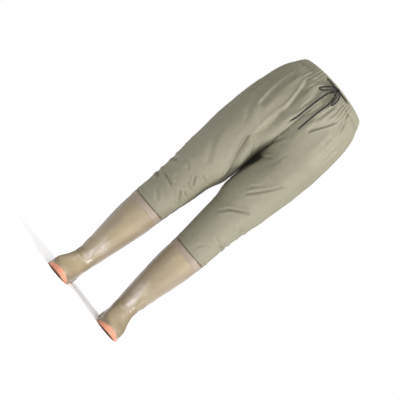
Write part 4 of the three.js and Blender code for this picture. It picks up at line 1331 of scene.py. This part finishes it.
def build_soles():
    """The outsoles: stepped side, toe bumper, heel block and chevron lugs."""
    columns = BOOT_COLUMNS
    turn = np.linspace(0, 2 * math.pi, columns, endpoint=False)[None, :]
    index = np.full((1, 1), float(SOLE_ROW))
    rings, margins, dusks = [], [], []
    for down, lips in SOLE_SIDE:
        ring, y = boot_face(index, turn, lips * SOLE_LIP,
                            lambda y: mix(sole_top(y) - FIT, ground_line(y), down))
        rings.append(ring[0])
        toe = smooth(-y[0], 0.70 * TOE_REACH, 0.86 * TOE_REACH)
        margins.append(1 - toe)
        ends = np.exp(-((toe - 0.45) / 0.3) ** 2)
        dusks.append(np.clip(0.75 * ends * (1 - down) + 0.8 * smooth(down, 0.75, 0.95) * toe, 0, 1))
    margins[-1] = margins[-1] * 0
    rows = len(rings)
    cut_points, cut_faces = sole_cutters()
    for hand, side in HANDS.items():
        flip = (side, 1, 1)
        faces = [list(f) for f in grid_faces(rows, columns, closed=True, flip=side < 0)]
        faces += lid_faces(0, columns, side < 0)
        faces += lid_faces((rows - 1) * columns, columns, side > 0)
        sole = new_object(f"sole_{hand}", np.array(rings) * flip, faces)
        recalculate(sole)
        store(sole, "margin", np.array(margins))
        store(sole, "dusk", np.array(dusks))
        cutter = new_object(f"cutter_{hand}", under_foot(cut_points) * flip, cut_faces)
        recalculate(cutter)
        settings = {"operation": "DIFFERENCE", "solver": "EXACT", "object": cutter, "use_self": True}
        apply_modifiers(sole, [("BOOLEAN", settings)])
        bpy.data.objects.remove(cutter)
        soften(sole, 35)
        finish_piece(sole, paint_of(sole_paint), "sole_pvc", f"outsole_{hand}")


def build_insoles():
    """The insoles, with rounded upper edges."""
    columns = BOOT_COLUMNS
    turn = np.linspace(0, 2 * math.pi, columns, endpoint=False)[None, :]
    index = np.full((1, 1), float(SOLE_ROW))
    edge, _ = boot_face(index, turn)
    edge = edge[0]
    along = np.roll(edge, -1, 0) - np.roll(edge, 1, 0)
    inward = np.stack([-along[:, 1], along[:, 0], 0 * along[:, 0]], -1)
    inward /= np.linalg.norm(inward, axis=1, keepdims=True)
    inset = BOOT_WALL + INSOLE_PLAY
    steps = [(1.4, 1.0), (0.5, 0.92), (0, 0.7), (0, 0.12), (0.4, 0.12)]
    for hand, side in HANDS.items():
        rings = []
        for pull, rise in steps:
            ring = edge + inward * (inset + pull)
            ring[:, 2] = edge[:, 2] + rise * INSOLE_THICKNESS
            rings.append(ring * (side, 1, 1))
        faces = [list(f) for f in grid_faces(len(rings), columns, closed=True, flip=side < 0)]
        faces += lid_faces(0, columns, side < 0)
        faces += lid_faces((len(rings) - 1) * columns, columns, side > 0)
        felt = new_object(f"insole_felt_{hand}", np.array(rings), faces)
        recalculate(felt)
        soften(felt, 50)
        finish_piece(felt, paint_of(insole_paint), "insole_felt", f"insole_{hand}")


# Drawstring

# Ways of the bow's pieces from the knot's middle, in millimetres.

END_RIGHT = [
    (-2.7, -1.2, -6), (-4.2, -3.6, -10.4), (-8.5, -7.5, -20), (-12.5, -10.5, -34), (-16, -14.5, -62),
    (-18, -19.5, -100), (-19, -23.5, -140), (-20, -25, -165), (-24, -26, -186),
]
END_LEFT = [
    (2.4, -0.8, -5.9), (4.2, -3.6, -10.4), (9, -7.5, -20), (13, -10.5, -34), (15.5, -14.5, -60),
    (14, -19.5, -98), (13, -23.5, -140), (13.5, -25, -162), (14, -26, -184),
]
LOOP_RIGHT = [
    (-8.8, -4.2, 0.6), (-18, -6, -5.5), (-27.5, -8.3, -15.5), (-35, -10.9, -25.5), (-40.9, -13.5, -33.7),
    (-44.4, -16.6, -39.4), (-43.8, -22.1, -43.8), (-39.1, -27.3, -44.4), (-32.9, -29.5, -40.7),
    (-26.3, -28, -33), (-19.5, -22.5, -23), (-13.2, -13.3, -12), (-8.4, -6, -4.9),
]
LOOP_LEFT = [
    (8.6, -4.2, 0.6), (17.5, -6.5, -7), (24.5, -9, -20), (27.5, -12.5, -34), (27, -18, -45.5),
    (24, -25, -50), (20, -29.5, -44), (17.5, -28, -32), (15, -22, -20.5), (12, -13.5, -11.5),
    (8.4, -6, -4.9),
]


def cord_way(points, per_span=10):
    """The cord's middle line: a smooth curve through its points, even on unequal spans."""
    p = np.asarray(points, float)
    p = np.vstack([2 * p[0] - p[1], p, 2 * p[-1] - p[-2]])
    found = []
    for i in range(1, len(p) - 2):
        spans = [max(np.linalg.norm(p[i + k] - p[i + k - 1]) ** 0.5, 1e-6) for k in range(3)]
        first = (p[i] - p[i - 1]) / spans[0] - (p[i + 1] - p[i - 1]) / (spans[0] + spans[1])
        first = (first + (p[i + 1] - p[i]) / spans[1]) * spans[1]
        second = (p[i + 1] - p[i]) / spans[1] - (p[i + 2] - p[i]) / (spans[1] + spans[2])
        second = (second + (p[i + 2] - p[i + 1]) / spans[2]) * spans[1]
        for t in np.arange(per_span) / per_span:
            a = 2 * t ** 3 - 3 * t ** 2 + 1
            b = t ** 3 - 2 * t ** 2 + t
            c = -2 * t ** 3 + 3 * t ** 2
            d = t ** 3 - t ** 2
            found.append(a * p[i] + b * first + c * p[i + 1] + d * second)
    found.append(p[-2])
    return np.array(found)


def way_length(points):
    return float(np.linalg.norm(np.diff(points, axis=0), axis=1).sum())


def bar_route(eyelet):
    """From a hole in the band along its face to the knot's side."""
    z = WAIST_HEIGHT - EYELET_DROP
    end = BOW_OFFSET + math.copysign(KNOT_WIDTH / 2 - 2, eyelet - BOW_OFFSET)
    lying = BAND_SWELL + 2 * FIT + CORD / 2
    points = []
    outs = ((-0.1, -0.5 * BAND_WALL), (0, 0), (0.14, lying), (0.4, lying), (0.7, lying), (1, lying))
    for share, out in outs:
        x = mix(eyelet, end, share)
        points.append(waist_point(np.array(waist_turn(x, z, out)), np.array(z), out))
    return np.array(points)


def build_drawstring():
    """The bow: two free ends, two loops, the knot, and the stretches along the band."""
    sizes = bpy.context.scene.wader_sizes
    paint = paint_of(cord_paint)
    radius = sizes.cord / MM / 2
    low, high = box_mm("drawstring_knot")
    knot = (np.array(low) + np.array(high)) / 2
    cords = [
        ("cord_end_right", END_RIGHT, "drawstring_end_right", "bare", True),
        ("cord_end_left", END_LEFT, "drawstring_end_left", "bare", False),
        ("cord_loop_right", LOOP_RIGHT, "drawstring_loop_right", "object", None),
        ("cord_loop_left", LOOP_LEFT, "drawstring_loop_left", "object", None),
    ]
    for name, route, node, far_end, pointed in cords:
        way = cord_way(np.array(route) + knot)
        taper = None
        if pointed is not None:
            run = np.cumsum(np.linalg.norm(np.diff(way, axis=0), axis=1))
            left = way_length(way) - np.concatenate([[0], run])
            taper = mix(0.45 if pointed else 0.8, 1.0, smooth(left, 0, 16 if pointed else 3))
        cord = tube(name, way, radius, 16, taper=taper)
        finish_piece(cord, paint, "cord", node)
        way_length(way) * MM

    for hand, side in HANDS.items():
        eyelet = BOW_OFFSET + side * EYELET_SPREAD / 2
        bar = tube(f"cord_bar_{hand}", cord_way(bar_route(eyelet), 12), radius, 16)
        finish_piece(bar, paint, "cord", f"drawstring_bar_{hand}")

    turns = []
    around = np.linspace(0, 2 * math.pi, 40, endpoint=False)
    for tilt, shift, wide, tall in ((0.32, -1.6, 2.0, 3.2), (-0.25, 2.0, 2.0, 3.1)):
        across = shift + wide * 0.4 * np.sin(around)
        ring = np.stack([across, wide * np.cos(around), tall * np.sin(around)], -1)
        c, s = math.cos(tilt), math.sin(tilt)
        ring[:, 0], ring[:, 2] = ring[:, 0] * c - ring[:, 2] * s, ring[:, 0] * s + ring[:, 2] * c
        turns.append(tube("turn", ring + knot, radius * 0.88, 16, closed=True))
    for tall, deep in ((1.9, 1.0), (-1.9, 0.2)):
        lying = [(-7.4, deep, -tall * 0.4), (-4, deep, tall * 0.4), (0, deep - 0.5, tall),
                 (4, deep, tall * 0.4), (7.4, deep, -tall * 0.4)]
        taper = mix(0.75, 1.0, np.sin(np.linspace(0, math.pi, 33)) ** 0.5)
        turns.append(tube("turn", cord_way(np.array(lying) + knot, 8), radius * 0.85, 16, taper=taper))
    tied = join("cord_knot", turns)
    finish_piece(tied, paint, "cord", "drawstring_knot")


# Stitching and ribs, along ways on the pieces' faces

def row_tree(name, material):
    """Small capsules along a way, every pitch, each along the way or upright."""
    tree = bpy.data.node_groups.new(name, "GeometryNodeTree")
    face = tree.interface
    face.new_socket("Geometry", in_out="INPUT", socket_type="NodeSocketGeometry")
    for label in ("Pitch", "Length", "Radius", "Upright"):
        face.new_socket(label, in_out="INPUT", socket_type="NodeSocketFloat")
    face.new_socket("Geometry", in_out="OUTPUT", socket_type="NodeSocketGeometry")
    nodes, links = tree.nodes, tree.links
    start, end = nodes.new("NodeGroupInput"), nodes.new("NodeGroupOutput")
    curve = nodes.new("GeometryNodeMeshToCurve")
    resample = nodes.new("GeometryNodeResampleCurve")
    resample.mode = "LENGTH"
    tangent = nodes.new("GeometryNodeInputTangent")
    upright = nodes.new("ShaderNodeMix")
    upright.data_type = "VECTOR"
    upright.inputs[5].default_value = (0, 0, 1)
    align = nodes.new("FunctionNodeAlignRotationToVector")
    align.axis = "Z"
    ball = nodes.new("GeometryNodeMeshIcoSphere")
    ball.inputs["Subdivisions"].default_value = 2
    size = nodes.new("ShaderNodeCombineXYZ")
    put = nodes.new("GeometryNodeInstanceOnPoints")
    real = nodes.new("GeometryNodeRealizeInstances")
    dress = nodes.new("GeometryNodeSetMaterial")
    dress.inputs["Material"].default_value = material
    for a, b in (
        (start.outputs["Geometry"], curve.inputs["Mesh"]),
        (curve.outputs[0], resample.inputs["Curve"]),
        (start.outputs["Pitch"], resample.inputs["Length"]),
        (resample.outputs[0], put.inputs["Points"]),
        (start.outputs["Upright"], upright.inputs[0]),
        (tangent.outputs[0], upright.inputs[4]),
        (upright.outputs[1], align.inputs["Vector"]),
        (align.outputs[0], put.inputs["Rotation"]),
        (start.outputs["Radius"], size.inputs[0]),
        (start.outputs["Radius"], size.inputs[1]),
        (start.outputs["Length"], size.inputs[2]),
        (size.outputs[0], put.inputs["Scale"]),
        (ball.outputs[0], put.inputs["Instance"]),
        (put.outputs[0], real.inputs[0]),
        (real.outputs[0], dress.inputs["Geometry"]),
        (dress.outputs[0], end.inputs[0]),
    ):
        links.new(a, b)
    return tree


def row_along(name, ways, tree, pitch, length, radius, upright=0.0):
    """Runs a row tree along ways in millimetres and keeps the result as a plain mesh."""
    points, edges = [], []
    for way in ways:
        start = len(points)
        points.extend((np.asarray(way) * MM).tolist())
        edges.extend([(start + k, start + k + 1) for k in range(len(way) - 1)])
    mesh = bpy.data.meshes.new(name)
    mesh.from_pydata(points, edges, [])
    obj = bpy.data.objects.new(name, mesh)
    bpy.context.scene.collection.objects.link(obj)
    modifier = obj.modifiers.new("row", "NODES")
    modifier.node_group = tree
    values = {"Pitch": pitch, "Length": length / 2, "Radius": radius, "Upright": upright}
    for item in tree.interface.items_tree:
        if item.in_out == "INPUT" and item.name in values:
            modifier[item.identifier] = values[item.name]
    bpy.context.view_layer.update()
    graph = bpy.context.evaluated_depsgraph_get()
    obj_mesh = bpy.data.meshes.new_from_object(obj.evaluated_get(graph), depsgraph=graph)
    obj.modifiers.clear()
    obj.data = obj_mesh
    bpy.data.meshes.remove(mesh)
    obj_mesh.name = name
    obj_mesh.shade_smooth()
    return obj


def cloth_point(side, z, share, sizes, lift=0.2):
    """Points on the finished cloth's face, for one half."""
    z, share = np.broadcast_arrays(np.asarray(z, float), np.asarray(share, float))
    tiny = 0.004
    base = cloth_half(z, share)
    down = cloth_half(z - 1.0, share) - base
    along = cloth_half(z, np.clip(share + tiny, -1, 1)) - cloth_half(z, np.clip(share - tiny, -1, 1))
    normal = np.cross(down, along)
    normal /= np.linalg.norm(normal, axis=-1, keepdims=True)
    flip = np.array([side, 1, 1])
    points, normals = base * flip, normal * flip
    return points + normals * (cloth_offsets(points, normals, sizes) + lift)[:, None]


def front_share(side, x, z):
    """The share round a half at which the front has a given x, found by halving."""
    low, high = -1.0, -0.3
    for _ in range(30):
        middle = (low + high) / 2
        if cloth_half(np.array([z]), np.array([middle]))[0][0] * side < x * side:
            low = middle
        else:
            high = middle
    return low


def build_stitching():
    """Thread along the hems, the front seam and the waistband, and ribs on the toes."""
    sizes = bpy.context.scene.wader_sizes
    thread = row_tree("stitch_row", paint_of(thread_paint))
    pitch = sizes.stitch + sizes.stitch_gap
    around = np.linspace(-1, 1, 260)
    for hand, side in HANDS.items():
        heights = [np.full(260, BOOT_HEIGHT + up) for up in (HEM_FOLD - 2.5, 3.0)]
        ways = [cloth_point(side, z, around, sizes) for z in heights]
        hem = row_along(f"hem_thread_{hand}", ways, thread, pitch, sizes.stitch, sizes.thread)
        finish_piece(hem, paint_of(thread_paint), "cloth")

    ways = []
    for x in (SEAM_LEFT + 2.0, SEAM_RIGHT - 2.0):
        side = 1 if x > 0 else -1
        heights = np.linspace(BAND_LOW - 3, SEAM_END + 12, 90)
        shares = np.array([front_share(1, abs(x), z) for z in heights])
        ways.append(cloth_point(side, heights, shares, sizes))
    seam = row_along("seam_thread", ways, thread, pitch, sizes.stitch, sizes.thread)
    finish_piece(seam, paint_of(thread_paint), "cloth")

    turn = np.linspace(0, 2 * math.pi, 500)
    z = np.full(500, WAIST_HEIGHT - 0.86 * BAND_HEIGHT)
    plain = waist_point(turn, z, 0)
    out = 0.35 + gather_wave(np.arctan2(plain[:, 0], AXIS_Y - plain[:, 1]), sizes)
    ways = [waist_point(turn, z, out) - (0, 0, 0.5)]
    band = row_along("band_thread", ways, thread, pitch, sizes.stitch, sizes.thread)
    finish_piece(band, paint_of(thread_paint), "cloth")

    ribs = row_tree("rib_row", paint_of(sole_paint))
    turn = np.linspace(-0.78, 0.78, 60)[None, :]
    index = np.full((1, 1), float(SOLE_ROW))
    for hand, side in HANDS.items():
        way, _ = boot_face(index, turn, 0.45 * SOLE_LIP, lambda y: mix(sole_top(y), ground_line(y), 0.5))
        rib = row_along(f"toe_ribs_{hand}", [way[0] * (side, 1, 1)], ribs, 0.0048, 0.0112, 0.0011, 1.0)
        store(rib, "margin", np.zeros(len(rib.data.vertices)))
        store(rib, "dusk", np.zeros(len(rib.data.vertices)))
        finish_piece(rib, paint_of(sole_paint), "sole_pvc")


# Operators and panel

class WADER_OT_stage(bpy.types.Operator):
    """Make the floor, the lights and the camera"""
    bl_idname = "wader.stage"
    bl_label = "Stage"

    def execute(self, context):
        build_stage()
        return {"FINISHED"}


class WADER_OT_drawstring(bpy.types.Operator):
    """Make the cord, its bow and its knot"""
    bl_idname = "wader.drawstring"
    bl_label = "Drawstring"

    def execute(self, context):
        build_drawstring()
        return {"FINISHED"}


class WADER_OT_trousers(bpy.types.Operator):
    """Make the cloth with its folds"""
    bl_idname = "wader.trousers"
    bl_label = "Trousers"

    def execute(self, context):
        build_trousers()
        return {"FINISHED"}


class WADER_OT_waistband(bpy.types.Operator):
    """Make the gathered casing"""
    bl_idname = "wader.waistband"
    bl_label = "Waistband"

    def execute(self, context):
        build_waistband()
        return {"FINISHED"}


class WADER_OT_boots(bpy.types.Operator):
    """Make both hollow boots"""
    bl_idname = "wader.boots"
    bl_label = "Boots"

    def execute(self, context):
        build_boots()
        return {"FINISHED"}


class WADER_OT_collars(bpy.types.Operator):
    """Make the welded bands under the hems"""
    bl_idname = "wader.collars"
    bl_label = "Collars"

    def execute(self, context):
        build_collars()
        return {"FINISHED"}


class WADER_OT_soles(bpy.types.Operator):
    """Make the outsoles with their lugs"""
    bl_idname = "wader.soles"
    bl_label = "Soles"

    def execute(self, context):
        build_soles()
        return {"FINISHED"}


class WADER_OT_insoles(bpy.types.Operator):
    """Make the felt insoles"""
    bl_idname = "wader.insoles"
    bl_label = "Insoles"

    def execute(self, context):
        build_insoles()
        return {"FINISHED"}


class WADER_OT_stitching(bpy.types.Operator):
    """Make the rows of thread and the toe ribs"""
    bl_idname = "wader.stitching"
    bl_label = "Stitching"

    def execute(self, context):
        build_stitching()
        return {"FINISHED"}


OPERATORS = (
    WADER_OT_stage,
    WADER_OT_drawstring,
    WADER_OT_trousers,
    WADER_OT_waistband,
    WADER_OT_boots,
    WADER_OT_collars,
    WADER_OT_soles,
    WADER_OT_insoles,
    WADER_OT_stitching,
)


class WADER_PT_panel(bpy.types.Panel):
    """Lists the wader's pieces and values"""
    bl_idname = "WADER_PT_panel"
    bl_label = "Waist wader"
    bl_space_type = "VIEW_3D"
    bl_region_type = "UI"
    bl_category = "Wader"

    def draw(self, context):
        column = self.layout.column()
        for operator in OPERATORS:
            column.operator(operator.bl_idname)
        for group in (context.scene.wader_sizes, context.scene.wader_colours):
            for name in group.__annotations__:
                column.prop(group, name)


CLASSES = (WaderSizes, WaderColours, *OPERATORS, WADER_PT_panel)


def register():
    for cls in CLASSES:
        bpy.utils.register_class(cls)
    bpy.types.Scene.wader_sizes = PointerProperty(type=WaderSizes)
    bpy.types.Scene.wader_colours = PointerProperty(type=WaderColours)


def unregister():
    del bpy.types.Scene.wader_colours
    del bpy.types.Scene.wader_sizes
    for cls in reversed(CLASSES):
        bpy.utils.unregister_class(cls)


def main():
    register()
    bpy.ops.wader.stage()
    bpy.ops.wader.drawstring()
    bpy.ops.wader.trousers()
    bpy.ops.wader.waistband()
    bpy.ops.wader.boots()
    bpy.ops.wader.collars()
    bpy.ops.wader.soles()
    bpy.ops.wader.insoles()
    bpy.ops.wader.stitching()


if __name__ == "__main__":
    main()
